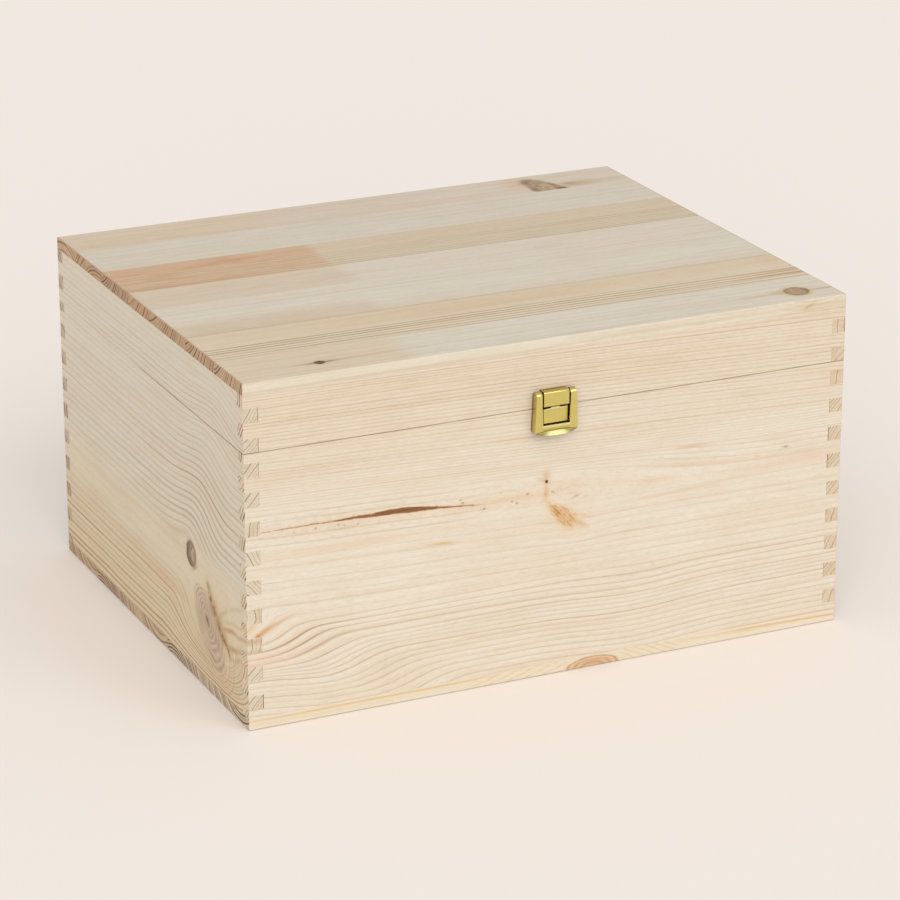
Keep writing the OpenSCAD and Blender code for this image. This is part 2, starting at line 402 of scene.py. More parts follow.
def kerf(w, c, along, seed, on=None):
    """The thin, uneven brown line where the lid meets the base."""
    wob = w.noise(along * 0.03, seed)
    wide = w.noise(along * 0.05, seed + 5.0, detail=3.0) * 0.50 + 0.12
    d = absol(w.z - SAW)
    k = clamp01(op(w.nt, "SUBTRACT", 1.25, d / wide)) * (wob * 0.8 + 0.35)
    if on is not None:
        k = k * on
    return cover(c, k * 0.9, wc(146, 116, 80))


# --- front walls: grain along X, one board before the lid was sawn off

def front_wood():
    w = Wood("pine_front", 1.0)
    nt, u, z = w.nt, w.x + X1, w.z
    w.u, w.a, w.deep = u, u, w.y + Y1
    w.edges = (0.66, 0.90, 0.94, 1.0)
    # the grain lines fall from left to right
    left = op(nt, "LESS_THAN", u, 168.0)
    band_l = step(z, 56.0, 72.0) * (op(nt, "SUBTRACT", 1.0, step(z, 130.0, 186.0) * 0.75))
    band_r = step(z, 110.0, 130.0) * (op(nt, "SUBTRACT", 1.0, step(z, 165.0, 188.0) * 0.7))
    mix = band_r + (band_l - band_r) * left
    zz = z + (u - 168.0) * 0.036 * mix
    # the knot right of the middle holds the lines apart, and they close up again to the right
    over = most(zz - 113.0, 0.0) / 9.0
    prof = step(zz, 93.0, 114.0) * op(nt, "EXPONENT", -(over * over))
    v = zz - prof * step(u, 312.0, 166.0) * 12.0
    v = v + bump2(u, z, 187.0, 79.0, 13.0, 8.0) * 2.4
    v = v + bump1(u, 224.0, 36.0) * step(z, 62.0, 44.0) * 3.2
    # swirl at the lower left: the side board's big knot turns these lines down
    wide = op(nt, "SUBTRACT", 68.0, step(z, 34.0, 56.0) * 14.0)
    centre = op(nt, "SUBTRACT", 117.0, z * 1.9)
    tall = step(z, 84.0, 52.0) * 9.4
    tall = tall * op(nt, "SUBTRACT", 1.0, step(u, 46.0, 4.0) * step(z, 36.0, 26.0) * 0.42)
    s0 = v
    v = v + tall * step((u - centre) / wide + 0.5, 1.0, 0.0)
    wav = w.noise(u * 0.011, s0 * 0.02, 4.0)
    small = w.noise(u * 0.045, s0 * 0.08, 9.0)
    w.v = v + (wav - 0.5) * 1.6 + (small - 0.5) * 0.55 + w.deep * 0.9
    w.t = (w.v / 3.4 + step(v, 15.0, 60.0) * 1.6 - step(v, 52.0, 112.0) * 2.2 + step(v, 173.0, 184.0) * 1.6
           + step(zz, 94.0, 116.0) * left * 3.0 + bump1(v, 42.0, 5.0) * 0.6 + most(v - 118.0, 0.0) * 0.17)
    w.shift = -(left * op(nt, "GREATER_THAN", zz, 105.0) * 3.0)
    inside = step(zz, 93.0, 97.0) * step(v, 103.5, 101.0) * step(u, 112.0, 150.0)
    strong = bump1(v, 36.0, 15.0) * 0.42 + step(z, 118.0, 165.0) * 0.34
    w.gain = (strong + 0.80 - bump1(v, 80.0, 26.0) * 0.34) * (op(nt, "SUBTRACT", 1.0, inside * 0.88))
    swirl = bump2(u, z, 31.0, 44.0, 24.0, 12.0, 10.0) * 1.3
    w.gain = w.gain + swirl * 0.55
    low = bump1(v, 41.0, 2.4) * step(u, 80.0, 140.0) * 0.7
    top = bump1(z, 180.0, 3.6)
    w.line = mixc(nt, swirl * 0.65 + low * 0.6 + top * 0.45, wc(207, 187, 158), wc(192, 152, 108))
    w.base = mixc(nt, top * 0.12 + step(z, 112.0, 165.0) * 0.55, wc(235, 225, 208), wc(230, 213, 190))

    def paint(w, c):
        n = w.noise
        # warm patches along the fan and by the streak
        c = cover(c, bump2(u, z, 62.0, 94.0, 50.0, 2.4) * 0.35, wc(226, 192, 152))
        c = cover(c, bump2(u, z, 236.0, 102.0, 10.0, 2.4) * 0.35, wc(226, 186, 146))
        c = cover(c, bump2(u, z, 330.0, 100.5, 36.0, 4.2) * 0.40, wc(224, 190, 162))
        c = cover(c, bump2(u, z, 255.0, 93.3, 30.0, 1.2, 3.0) * 0.45, wc(218, 184, 146))
        c = cover(c, bump2(u, z, 262.0, 106.5, 34.0, 1.4, -4.5) * 0.35, wc(222, 180, 148))
        c = cover(c, bump2(u, z, 4.0, 38.0, 22.0, 4.5) * 0.35, wc(236, 196, 172))
        # resin streak
        edge = n(u * 0.16, z * 0.5, 2.0, detail=4.0, rough=0.75)
        cz = op(nt, "SUBTRACT", 108.75, step(u, 78.0, 146.0) * 4.8) - step(u, 20.0, 80.0) * 0.4
        half = bump1(u, 88.0, 19.0) * 0.95 + bump1(u, 80.0, 43.0) * 0.62 + (edge - 0.5) * 1.9 + 0.03
        half = half - step(u, 118.0, 150.0) * 0.42 - step(u, 9.0, 4.0) * 2.0
        wander = (n(u * 0.06, 3.0, 1.0, detail=3.0) - 0.5) * 1.1
        d = absol(z - cz - wander)
        c = cover(c, bump1(z - cz, -0.3, 2.4) * bump1(u, 84.0, 56.0) * 0.28, wc(220, 182, 142))
        c = cover(c, step(half - d, -0.35, 0.12) * 0.85, wc(186, 142, 98))
        c = cover(c, step(half - d, 0.00, 0.45) * 0.92, wc(146, 96, 58))
        tone = n(u * 0.05, z * 2.6, 8.0, detail=3.0)
        c = cover(c, step(half - d, 0.15, 0.6) * (tone * 3.2 - 1.2) * 0.9, wc(108, 66, 38))
        # resin specks: short upright dashes by the streak, dots on towards the knot
        vor = nt.nodes.new("ShaderNodeTexVoronoi")
        vor.feature = "F1"
        vor.inputs["Scale"].default_value = 1.0
        nt.links.new(combine(nt, u * 0.19, z * 0.26, 0.0), vor.inputs["Vector"])
        dist = Num(nt, vor.outputs["Distance"])
        zone = bump1(z, 107.5, 4.0) * bump1(u, 66.0, 60.0) * 0.8 + bump1(z, 104.4, 3.2) * bump1(u, 144.0, 28.0) * 2.0
        c = cover(c, step(dist, 0.24, 0.10) * step(zone, 0.28, 0.7) * 0.7, wc(190, 134, 76))
        c = cover(c, bump2(u, z, 148.0, 104.4, 22.0, 1.8) * 0.4, wc(224, 188, 140))
        # pin knot and its halo
        c = cover(c, bump2(u, z, 170.4, 113.4, 2.1, 3.4) * 0.65, wc(214, 168, 114))
        c = cover(c, bump2(u, z, 170.4, 104.0, 1.6, 5.0) * 0.65, wc(214, 168, 112))
        c = cover(c, bump2(u, z, 168.0, 112.0, 3.6, 0.9, -25.0) * 0.4, wc(214, 164, 112))
        c = cover(c, step(bump2(u, z, 170.6, 110.8, 0.95, 1.05), 0.25, 0.6), wc(104, 66, 34))
        # burst: orange strands that run down to the right from the knot's line
        ang = math.radians(-41)
        ca, sa = math.cos(ang), math.sin(ang)
        du, dz = u - 180.0, z - 90.6
        s1, s2 = du * ca + dz * sa, dz * ca - du * sa
        strand = n(s1 * 0.16, s2 * 0.85 + s1 * 0.10, 6.0, detail=4.0, rough=0.75, distort=0.6)
        warp = (n(u * 0.16, z * 0.16, 16.0, detail=4.0, rough=0.65) - 0.5) * 8.5
        e1 = s1 / 11.5
        e2 = (s2 + warp * 0.6) / (step(s1, -14.0, 10.0) * 2.6 + 3.2)
        r = root(e1 * e1 + e2 * e2) + warp * 0.06
        body = step(r, 1.15, 0.55) * op(nt, "GREATER_THAN", u, 170.0)
        c = cover(c, step(r, 2.0, 0.7) * op(nt, "GREATER_THAN", u, 170.0) * 0.35, wc(230, 200, 156))
        c = cover(c, body * 0.75, wc(220, 182, 126))
        c = cover(c, body * step(strand, 0.44, 0.58) * 0.75, wc(196, 146, 88))
        c = cover(c, step(r, 0.95, 0.35) * step(strand, 0.53, 0.62) * op(nt, "GREATER_THAN", u, 170.0) * 0.85, wc(150, 102, 58))
        c = cover(c, bump2(u, z, 190.8, 84.2, 4.2, 1.3, -28.0) * 0.6, wc(214, 162, 110))
        c = cover(c, bump2(u, z, 192.0, 88.6, 7.0, 1.0, -18.0) * 0.45, wc(222, 180, 138))
        # plume right of the pin knot
        feather = n(u * 0.09, z * 0.9 - u * 0.18, 12.0, detail=3.0)
        c = cover(c, bump2(u, z, 185.0, 105.6, 7.5, 2.6) * (feather * 3.0 - 1.0) * 0.5, wc(220, 184, 130))
        c = cover(c, bump2(u, z, 188.0, 99.9, 2.6, 0.6, 16.0) * 0.6, wc(190, 146, 112))
        # small marks
        c = cover(c, bump2(u, z, 9.2, 54.0, 6.0, 1.5, 35.0) * 0.75, wc(212, 156, 94))
        c = cover(c, bump2(u, z, 6.0, 52.4, 1.5, 0.8, 20.0) * 0.85, wc(190, 112, 52))
        c = cover(c, bump2(u, z, 15.5, 57.0, 10.0, 1.0, 22.0) * 0.6, wc(206, 162, 110))
        c = cover(c, bump2(u, z, 2.0, 56.5, 5.0, 2.4, 30.0) * 0.5, wc(222, 186, 130))
        c = cover(c, bump2(u, z, 257.0, 117.2, 9.0, 0.8, -3.0) * 0.6, wc(212, 172, 130))
        c = cover(c, bump2(u, z, 315.2, 108.0, 1.9, 0.7) * 0.8, wc(190, 142, 102))
        c = cover(c, bump2(u, z, 110.5, 86.0, 7.0, 0.9, -5.0) * 0.75, wc(212, 172, 112))
        c = cover(c, bump2(u, z, 235.0, 53.5, 1.2, 1.0) * 0.5, wc(222, 180, 154))
        return kerf(w, c, w.x, 2.0)

    return pine(w, paint, end_axis=0, end_base=(241, 222, 196), end_line=(112, 84, 60), end_gain=1.12,
                end_t=lambda w: finger_t(w, -0.7, 0.75, 2.9), end_edges=(0.47, 0.70, 0.86, 1.0))


def back_wood():
    w = Wood("pine_back", 5.0)
    nt, z = w.nt, w.z
    w.a, w.deep = w.x + X1, Y1 - w.y
    v = z - w.a * 0.012 + bump2(w.x, z, 60.0, 80.0, 60.0, 22.0) * 5.0
    v = v - (z - 62.0) * bump2(w.x, z, -96.0, 62.0, 19.0, 11.0) * 0.9
    wav = w.noise(w.x * 0.011, z * 0.018, 24.0)
    w.v = v + (wav - 0.5) * 7.0 - w.deep * 0.8
    w.t = w.v / 3.9 + step(v, 70.0, 140.0) * 2.0
    w.gain = 0.95
    w.base, w.line = wc(231, 219, 199), wc(202, 178, 148)

    def paint(w, c):
        c = knot(w, c, w.x, z, -96.0, 62.0, 6.5, 5.2, 31.0)
        return kerf(w, c, w.x, 8.0)

    return pine(w, paint, end_axis=0, end_base=(214, 194, 168), end_line=(118, 86, 60), end_gain=1.15,
                end_t=lambda w: finger_t(w, -0.7, -0.7, 3.6), end_edges=(0.40, 0.66, 0.86, 1.0))


def knot(w, c, p, q, cp, cq, rp, rq, seed):
    """A plain round knot on a face that nobody has photographed."""
    nt = w.nt
    wob = (w.noise(p * 0.14, q * 0.14, seed, detail=3.0) - 0.5) * 0.4
    a, b = (p - cp) / rp, (q - cq) / rq
    r = op(nt, "SQRT", a * a + b * b) + wob
    ringk = op(nt, "SINE", r * 13.0) * 0.5 + 0.5
    c = cover(c, step(r, 1.9, 1.0) * 0.4, wc(214, 178, 138))
    c = cover(c, step(r, 1.08, 0.92) * 0.85, wc(158, 122, 86))
    c = cover(c, step(r, 0.94, 0.72), wc(204, 174, 138))
    return cover(c, step(r, 0.9, 0.8) * ringk * 0.5, wc(156, 118, 84))


# --- side walls: grain along Y

def left_wood():
    w = Wood("pine_left", 2.0)
    nt, z = w.nt, w.z
    b = Y1 - w.y
    w.b, w.a, w.deep = b, b, w.x + X1
    w.edges = (0.48, 0.80, 0.90, 1.0)
    # lines above the knots swing up and then down towards the front
    xp = (z - 90.0) * 0.45 + 204.0
    rise = bump1(b, xp, 27.0) * step(z, 70.0, 84.0) * (op(nt, "SUBTRACT", 1.0, step(z, 140.0, 186.0) * 0.6)) * 5.2
    fall = step((b - xp) / 52.0 + 0.12, 0.0, 1.0) * (step(z, 112.0, 88.0) * 4.6 + 6.0) * step(z, 66.0, 80.0)
    v = z - rise + fall
    # lines below bend down under the large knot
    gx = step(b - (z - 20.0) * 0.6, 156.0, 232.0) * step(b + (z - 32.0) * 0.7, 294.0, 244.0)
    v = v + gx * (least(z, 30.0) * 0.66 + step(z, 9.0, 35.0) * 16.0) * step(z, 66.0, 40.0)
    v = v - step(b, 246.0, 284.0) * step(z, 2.0, 24.0) * step(z, 58.0, 34.0) * 13.0
    wav = w.noise(b * 0.011, z * 0.02, 14.0)
    small = w.noise(b * 0.04, z * 0.08, 19.0)
    slope = bump1(z, 88.0, 22.0) * 2.3 - 1.25
    w.v = v + (wav - 0.5) * 3.0 + (small - 0.5) * 1.0 + w.deep * slope
    w.v0 = v
    w.t = w.v / 4.0 - step(v, 50.0, 76.0) * 3.4 + step(v, 140.0, 176.0) * 2.0 + step(v, 0.0, 46.0) * 1.2
    blank = step(v, 50.0, 55.0) * step(v, 76.0, 70.0)
    hidden = step(z, 38.0, 47.0) * step(b, 192.0, 206.0) * step(z, 84.0, 74.0)
    lower = step(z, 58.0, 42.0)
    under = bump2(b, z, 232.0, 16.0, 34.0, 12.0)
    w.gain = (step(v, 78.0, 90.0) * step(v, 104.0, 100.0) * 0.16 + 0.72 + lower * 0.42 + under * 0.4) \
        * (op(nt, "SUBTRACT", 1.0, blank * 0.8)) * (op(nt, "SUBTRACT", 1.0, hidden * 0.9)) \
        * (op(nt, "SUBTRACT", 1.0, step(b, 180.0, 60.0) * step(z, 66.0, 76.0) * 0.22))
    swing = bump2(b, z, 228.0, 104.0, 34.0, 24.0)
    w.gain = w.gain + swing * 0.45
    w.line = mixc(nt, bump1(v, 112.6, 1.5) * 0.8 + lower * 0.75 + under * 0.4 + swing * 0.25, wc(200, 184, 158), wc(190, 152, 106))
    w.base = mixc(nt, step(z, 100.0, 26.0), wc(238, 229, 210), wc(238, 221, 189))

    def paint(w, c):
        n = w.noise
        c = cover(c, bump2(b, z, 134.0, 112.0, 1.2, 7.0) * 0.22, wc(206, 176, 140))
        c = cover(c, bump2(b, z, 176.0, 75.0, 15.0, 3.2) * 0.35, wc(220, 180, 142))
        c = cover(c, bump2(b, z, 232.0, 60.0, 24.0, 12.0) * 0.20, wc(236, 206, 150))
        c = cover(c, bump2(b, z, 160.0, 42.0, 34.0, 3.4) * 0.45, wc(222, 180, 138))
        # orange lines that come out of the large knot's front side
        zr = z + (n(b * 0.08, z * 0.08, 27.0) - 0.5) * 5.0
        rays = (stroke(b, zr, 242.0, 42.6, 262.0, 47.8, 1.5) * 0.95 + stroke(b, zr, 260.0, 47.4, 284.0, 49.8, 1.4, 1.1) * 0.7
                + stroke(b, zr, 250.0, 36.4, 265.0, 38.4, 1.3) * 0.9 + stroke(b, zr, 263.0, 38.0, 284.0, 44.6, 1.3, 1.1) * 0.6
                + stroke(b, zr, 238.0, 48.0, 252.0, 57.0, 1.5) * 0.45 + stroke(b, zr, 251.0, 56.4, 282.0, 68.0, 1.6) * 0.30
                + stroke(b, zr, 244.0, 48.0, 282.0, 57.0, 1.2) * 0.35 + stroke(b, zr, 254.0, 31.0, 284.0, 38.6, 1.1) * 0.5)
        c = cover(c, rays * 0.75, wc(188, 146, 92))
        # halo lines below the large knot
        wob = n(b * 0.06, z * 0.06, 8.0, detail=3.0) - 0.5
        rr = oval(b, z, 226.5, 36.8, 23.0, 13.0, -42.0) + wob * 0.20
        wide = oval(b, z, 231.0, 35.0, 27.0, 17.5, -38.0) + wob * 0.16
        halo = bump1(wide, 1.0, 0.022) + bump1(wide, 1.12, 0.020) * 0.8 + bump1(wide, 1.26, 0.026)
        halo = halo * step(z, 46.0, 30.0) * step(b, 196.0, 206.0)
        c = cover(c, step(wide, 1.5, 0.9) * 0.30, wc(232, 204, 164))
        c = cover(c, halo * 0.35, wc(176, 140, 96))
        # small round knot
        wob2 = n(b * 0.22, z * 0.22, 3.0, detail=3.0) - 0.5
        db, dz = b - 202.0, z - 70.6
        rk = root(db * db * 1.02 + dz * dz) + wob2 * 2.4
        c = cover(c, step(rk, 10.5, 6.6) * 0.40, wc(204, 174, 140))
        c = cover(c, step(rk, 7.9, 6.7) * 0.9, wc(150, 122, 94))
        c = cover(c, step(rk, 6.6, 5.0) * 0.85, wc(186, 164, 136))
        dark = step(db * -0.6 - dz * 0.3, -2.0, 3.4)
        c = cover(c, step(rk, 7.8, 6.6) * step(rk, 1.6, 4.4) * dark * 0.85, wc(112, 86, 62))
        c = cover(c, bump2(b, z, 199.0, 74.5, 2.4, 1.4, 30.0) * 0.6, wc(120, 94, 76))
        c = cover(c, bump2(b, z, 207.0, 64.2, 4.6, 0.9, 30.0) * 0.6, wc(170, 126, 90))
        ringk = op(nt, "SINE", rk * 2.7 + wob2 * 3.0) * 0.5 + 0.5
        c = cover(c, step(rk, 6.4, 5.4) * ringk * 0.40, wc(142, 112, 92))
        arcs = root((b - 206.5) * (b - 206.5) + (z - 70.4) * (z - 70.4))
        c = cover(c, bump1(arcs, 3.6, 0.9) * step(b, 206.0, 203.5) * step(rk, 6.4, 5.0) * 0.6, wc(222, 206, 182))
        c = cover(c, bump1(arcs, 5.4, 0.8) * step(b, 205.0, 202.0) * step(rk, 6.4, 5.0) * 0.6, wc(124, 98, 74))
        # large knot: ringed oval that runs down to the front
        inside = step(rr, 1.22, 0.86)
        c = cover(c, inside * 0.75, wc(212, 190, 164))
        rf = oval(b, z, 222.8, 41.4, 1.0, 0.72, -42.0)
        lean = (b - 222.8) * 0.766 - (z - 41.4) * 0.643
        rf = rf * (op(nt, "SUBTRACT", 1.0, step(lean, -2.0, 24.0) * 0.30)) + wob * 4.0
        ringf = op(nt, "SINE", rf * 2.3 + (n(b * 0.2, z * 0.2, 5.0, detail=3.0) - 0.5) * 4.5) * 0.5 + 0.5
        blur = n(b * 0.12, z * 0.12, 15.0, detail=3.0)
        c = cover(c, inside * step(rf, 12.0, 5.0) * 0.30, wc(196, 166, 136))
        c = cover(c, step(rr, 1.30, 0.95) * ringf * (blur * 1.1 - 0.12), wc(158, 130, 104))
        c = cover(c, inside * step(rf, 3.4, 0.6) * 0.75, wc(134, 94, 60))
        c = cover(c, bump2(b, z, 224.2, 39.8, 2.6, 1.0, -42.0) * 0.7, wc(120, 76, 50))
        c = cover(c, bump2(b, z, 237.5, 33.0, 5.0, 2.2, -42.0) * 0.4, wc(164, 118, 84))
        # bark seam along its upper front side
        thick = n(b * 0.25, z * 0.25, 9.0, detail=4.0, rough=0.7)
        zs = z + (n(b * 0.15, z * 0.15, 31.0, detail=3.0) - 0.5) * 5.0
        seam = stroke(b, zs, 224.5, 64.0, 231.0, 51.0, 2.4, 1.0) * 0.9 + stroke(b, zs, 230.0, 53.0, 242.0, 43.0, 2.8, 1.05)
        seam = seam + stroke(b, zs, 240.0, 43.0, 253.5, 34.5, 2.6, 1.05) + stroke(b, zs, 252.5, 35.5, 256.5, 29.5, 1.0, 1.0) * 0.8
        seam = seam * (thick * 3.4 - 0.95)
        c = cover(c, (stroke(b, z, 226.0, 60.0, 253.0, 35.0, 5.2, 1.05)) * 0.5, wc(206, 164, 108))
        c = cover(c, seam * 0.85, wc(154, 112, 62))
        c = cover(c, step(seam, 0.80, 1.35) * 0.7, wc(112, 80, 44))
        return kerf(w, c, w.y, 12.0, on=step(w.y, 30.0, -10.0) * 1.25)

    slant = bump1(z, 78.0, 24.0) * 1.3 - 0.8
    return pine(w, paint, end_axis=1, end_base=(225, 212, 190), end_line=(146, 124, 100), end_gain=0.95,
                end_t=lambda w: finger_t(w, 7.3, slant, 2.2), end_edges=(0.58, 0.82, 0.90, 1.0))


def right_wood():
    w = Wood("pine_right", 6.0)
    nt, z = w.nt, w.z
    b = Y1 - w.y
    w.a, w.deep = b, X1 - w.x
    v = z + w.y * 0.02 - bump2(w.y, z, 40.0, 60.0, 50.0, 24.0) * 5.0
    v = v - (z - 104.0) * bump2(b, z, 96.0, 104.0, 21.0, 12.5) * 0.9
    wav = w.noise(b * 0.011, z * 0.02, 44.0)
    w.v = v + (wav - 0.5) * 6.0 + w.deep * (w.noise(z * 0.02, 7.0) * 4.0 - 2.4)
    w.t = w.v / 3.9 + step(v, 20.0, 90.0) * 2.2
    w.base, w.line = wc(228, 216, 196), wc(201, 176, 146)

    def paint(w, c):
        c = knot(w, c, b, z, 96.0, 104.0, 7.5, 6.0, 41.0)
        return kerf(w, c, w.y, 15.0)

    return pine(w, paint, end_axis=1, end_base=(224, 206, 178), end_line=(156, 124, 94), end_gain=0.85,
                end_t=lambda w: finger_t(w, 7.3, -0.5, 2.2), end_edges=(0.60, 0.84, 0.90, 1.0))


# --- panels: glued strips, grain along X

LID_Y = [Y1 - v for v in (0, 33, 74, 116, 148, 201, 242, 280)]
BOTTOM_Y = [Y1 - v for v in (0, 50, 107, 162, 223, 280)]


def glue_line(w, c, y_edge):
    """A faint line along the joint between two strips."""
    fade = w.noise(w.x * 0.018, y_edge)
    k = clamp01(op(w.nt, "SUBTRACT", 1.0, absol(w.y - y_edge) / 0.5)) * clamp01(fade * 1.8 - 0.5)
    return cover(c, k * 0.5, wc(176, 150, 118))


def strip(name, seed, y_low, y_high, base, line, spacing, gain, tilt, ends, pith, wave=3.0, setup=None, paint=None,
          glue=True, z_top=Z1):
    """A strip of a panel. pith: where its rings' centre lies, in mm from the strip's middle and below its top."""
    w = Wood(name, seed)
    nt = w.nt
    u, t = w.x + X1, Y1 - w.y
    w.u, w.tt, w.a, w.deep = u, t, u, z_top - w.z
    wav = w.noise(u * 0.007, t * 0.02, seed)
    fine = w.noise(u * 0.03, t * 0.1, seed + 2.0)
    w.v = t + u * (0.006 if int(seed) % 2 else -0.005) + (wav - 0.5) * wave + (fine - 0.5) * 0.5 - w.deep * tilt
    w.t = w.v / spacing
    w.gain = gain
    w.base, w.line = wc(*base), wc(*line)
    if setup:
        setup(w)

    def end_t(w):
        dy, dz = w.y - ((y_low + y_high) / 2 + pith[0]), w.z - (z_top - pith[1])
        wob = w.noise(w.y * 0.05, w.z * 0.05, seed + 5.0)
        return op(nt, "SQRT", dy * dy + dz * dz) / ends[2] + wob * 0.8

    def painted(w, c):
        if paint:
            c = paint(w, c)
        if glue:
            c = glue_line(w, c, y_low)
        # end grain shows brown along the rounded ends
        rim = step(least(w.u, op(nt, "SUBTRACT", 2 * X1, w.u)), 1.3, 0.4) * op(nt, "GREATER_THAN", absol(w.nz), 0.3)
        return cover(c, rim * 0.55, wc(184, 146, 106))

    return pine(w, painted, end_axis=0, end_base=ends[0], end_line=ends[1], end_gain=1.15, end_t=end_t,
                end_edges=(0.22, 0.70, 0.84, 1.0))


def warm_left(w, edge, amount, colour, blur=4.0, slant=0.0):
    """The strip's upper side is warmer left of an edge."""
    wob = w.noise(w.u * 0.02, w.tt * 0.10, 3.0)
    up = op(w.nt, "GREATER_THAN", w.nz, 0.5)
    m = step(w.u + w.tt * slant + (wob - 0.5) * blur * 1.5, edge + blur * 1.5, edge - blur * 1.5) * amount * up
    w.base = mixc(w.nt, m, w.base, colour)
    return m


def top1(w):
    warm_left(w, 126.0, 0.4, wc(228, 202, 168), 8.0)


def top1_paint(w, c):
    """The arched knot at the back, cut off by the glue line."""
    nt, u, t, n = w.nt, w.u, w.tt, w.noise
    c = cover(c, bump1(t, 21.0, 9.0) * bump1(u, 20.0, 90.0) * 0.25, wc(222, 194, 160))
    wob = n(u * 0.12, t * 0.16, 5.0, detail=4.0, rough=0.7) - 0.5
    du, dt = u - 294.5 - (t - 20.0) * 0.18, t - 33.0
    e1, e2 = du / 9.6, dt / 25.0
    r = root(e1 * e1 + e2 * e2) + wob * 0.50
    c = cover(c, bump2(u, t, 284.0, 9.0, 9.5, 8.0) * 0.45, wc(224, 170, 138))
    c = cover(c, bump2(u, t, 279.0, 19.0, 6.0, 9.0) * 0.30, wc(222, 176, 146))
    c = cover(c, bump2(u, t, 318.0, 26.0, 10.0, 5.0) * 0.75, wc(194, 166, 122))
    c = cover(c, bump2(u, t, 311.5, 24.6, 4.5, 3.4) * 0.50, wc(158, 130, 90))
    c = cover(c, bump2(u, t, 336.0, 26.0, 18.0, 3.0) * 0.4, wc(202, 180, 142))
    c = cover(c, step(r, 1.22, 0.85) * 0.85, wc(160, 130, 94))
    c = cover(c, step(r, 0.96, 0.60) * 0.80, wc(198, 170, 132))
    core = n(u * 0.24, t * 0.16, 7.0, detail=4.0, rough=0.7)
    c = cover(c, step(r, 1.1, 0.7) * step(core, 0.47, 0.58) * 0.70, wc(148, 118, 84))
    c = cover(c, bump2(u, t, 288.4, 12.0, 3.0, 5.5, 30.0) * 0.65, wc(134, 98, 62))
    c = cover(c, bump2(u, t, 286.6, 28.5, 1.7, 4.2) * 0.75, wc(116, 92, 60))
    c = cover(c, bump2(u, t, 303.8, 30.8, 3.4, 2.0) * 0.85, wc(112, 90, 58))
    return c


def top3(w):
    """Orange board with fine lines towards its front side."""
    m = warm_left(w, 124.5, 0.75, wc(222, 186, 150), 3.0, 0.05)
    back = step(w.tt, 96.0, 82.0)
    up = op(w.nt, "GREATER_THAN", w.nz, 0.5)
    blot = w.noise(w.u * 0.02, w.tt * 0.12, 33.0, detail=3.0)
    w.base = mixc(w.nt, back * up * (m * 0.45 + 0.12) * blot * 2.0, w.base, wc(218, 174, 136))
    w.base = mixc(w.nt, m * step(blot, 0.50, 0.60) * 0.60, w.base, wc(210, 160, 116))
    pale = w.noise(w.u * 0.03, w.tt * 0.10, 43.0, detail=3.0)
    w.base = mixc(w.nt, m * step(pale, 0.52, 0.66) * 0.45, w.base, wc(228, 200, 166))
    w.t = w.v / 3.1
    w.gain = step(w.tt, 88.0, 98.0) * 0.85 + 0.28 + m * 0.2
    w.line = mixc(w.nt, m, wc(186, 158, 122), wc(196, 156, 114))


def top4(w):
    warm_left(w, 121.0, 0.5, wc(222, 196, 162), 5.0)
    w.gain = 0.28


def top5(w):
    nt = w.nt
    wob = w.noise(w.u * 0.03, w.tt * 0.06, 3.0)
    up = op(nt, "GREATER_THAN", w.nz, 0.5)
    m = step(w.u + (wob - 0.5) * 12.0, 119.0, 105.0) * step(w.tt, 172.0, 188.0) * up
    w.base = mixc(nt, m * 0.6, w.base, wc(222, 198, 170))
    w.base = mixc(nt, step(w.tt, 180.0, 198.0) * 0.35, w.base, wc(222, 202, 176))
    w.gain = 0.32


def top5_paint(w, c):
    t, u = w.tt, w.u
    faint = w.noise(u * 0.01, 3.0)
    c = cover(c, bump1(t - (w.noise(u * 0.01, 2.0) - 0.5) * 3.0, 160.0, 0.9) * faint * 0.6, wc(206, 190, 166))
    return cover(c, bump1(t, 199.6, 0.8) * (0.35 + faint * 0.4), wc(198, 168, 128))


def top6(w):
    """Yellow board: plain behind, six strong lines along its front half."""
    nt = w.nt
    up = op(nt, "GREATER_THAN", w.nz, 0.5)
    w.base = mixc(nt, step(w.tt, 216.0, 206.0) * up * 0.3, w.base, wc(224, 202, 166))
    w.base = mixc(nt, bump2(w.u, w.tt, 175.0, 214.0, 120.0, 6.0) * up * 0.5, w.base, wc(222, 192, 150))
    front = step(w.tt, 221.0, 226.0)
    w.base = mixc(nt, front * up * 0.4, w.base, wc(238, 224, 200))
    w.t = (w.v - 224.5) / 3.55 + 0.80
    w.gain = front * 0.88 + 0.20
    w.line = mixc(nt, front, wc(208, 182, 142), wc(178, 148, 108))
    w.edges = (0.52, 0.78, 0.84, 1.0)


def top6_paint(w, c):
    u, t = w.u, w.tt
    c = cover(c, bump2(u, t, 350.0, 228.5, 30.0, 2.2) * 0.7, wc(204, 158, 106))
    return cover(c, bump2(u, t, 345.0, 234.6, 36.0, 0.9) * 0.8, wc(182, 124, 78))


def top7(w):
    warm_left(w, 97.0, 0.5, wc(232, 204, 166), 6.0)
    w.t = w.v / 5.5
    w.gain = 0.36


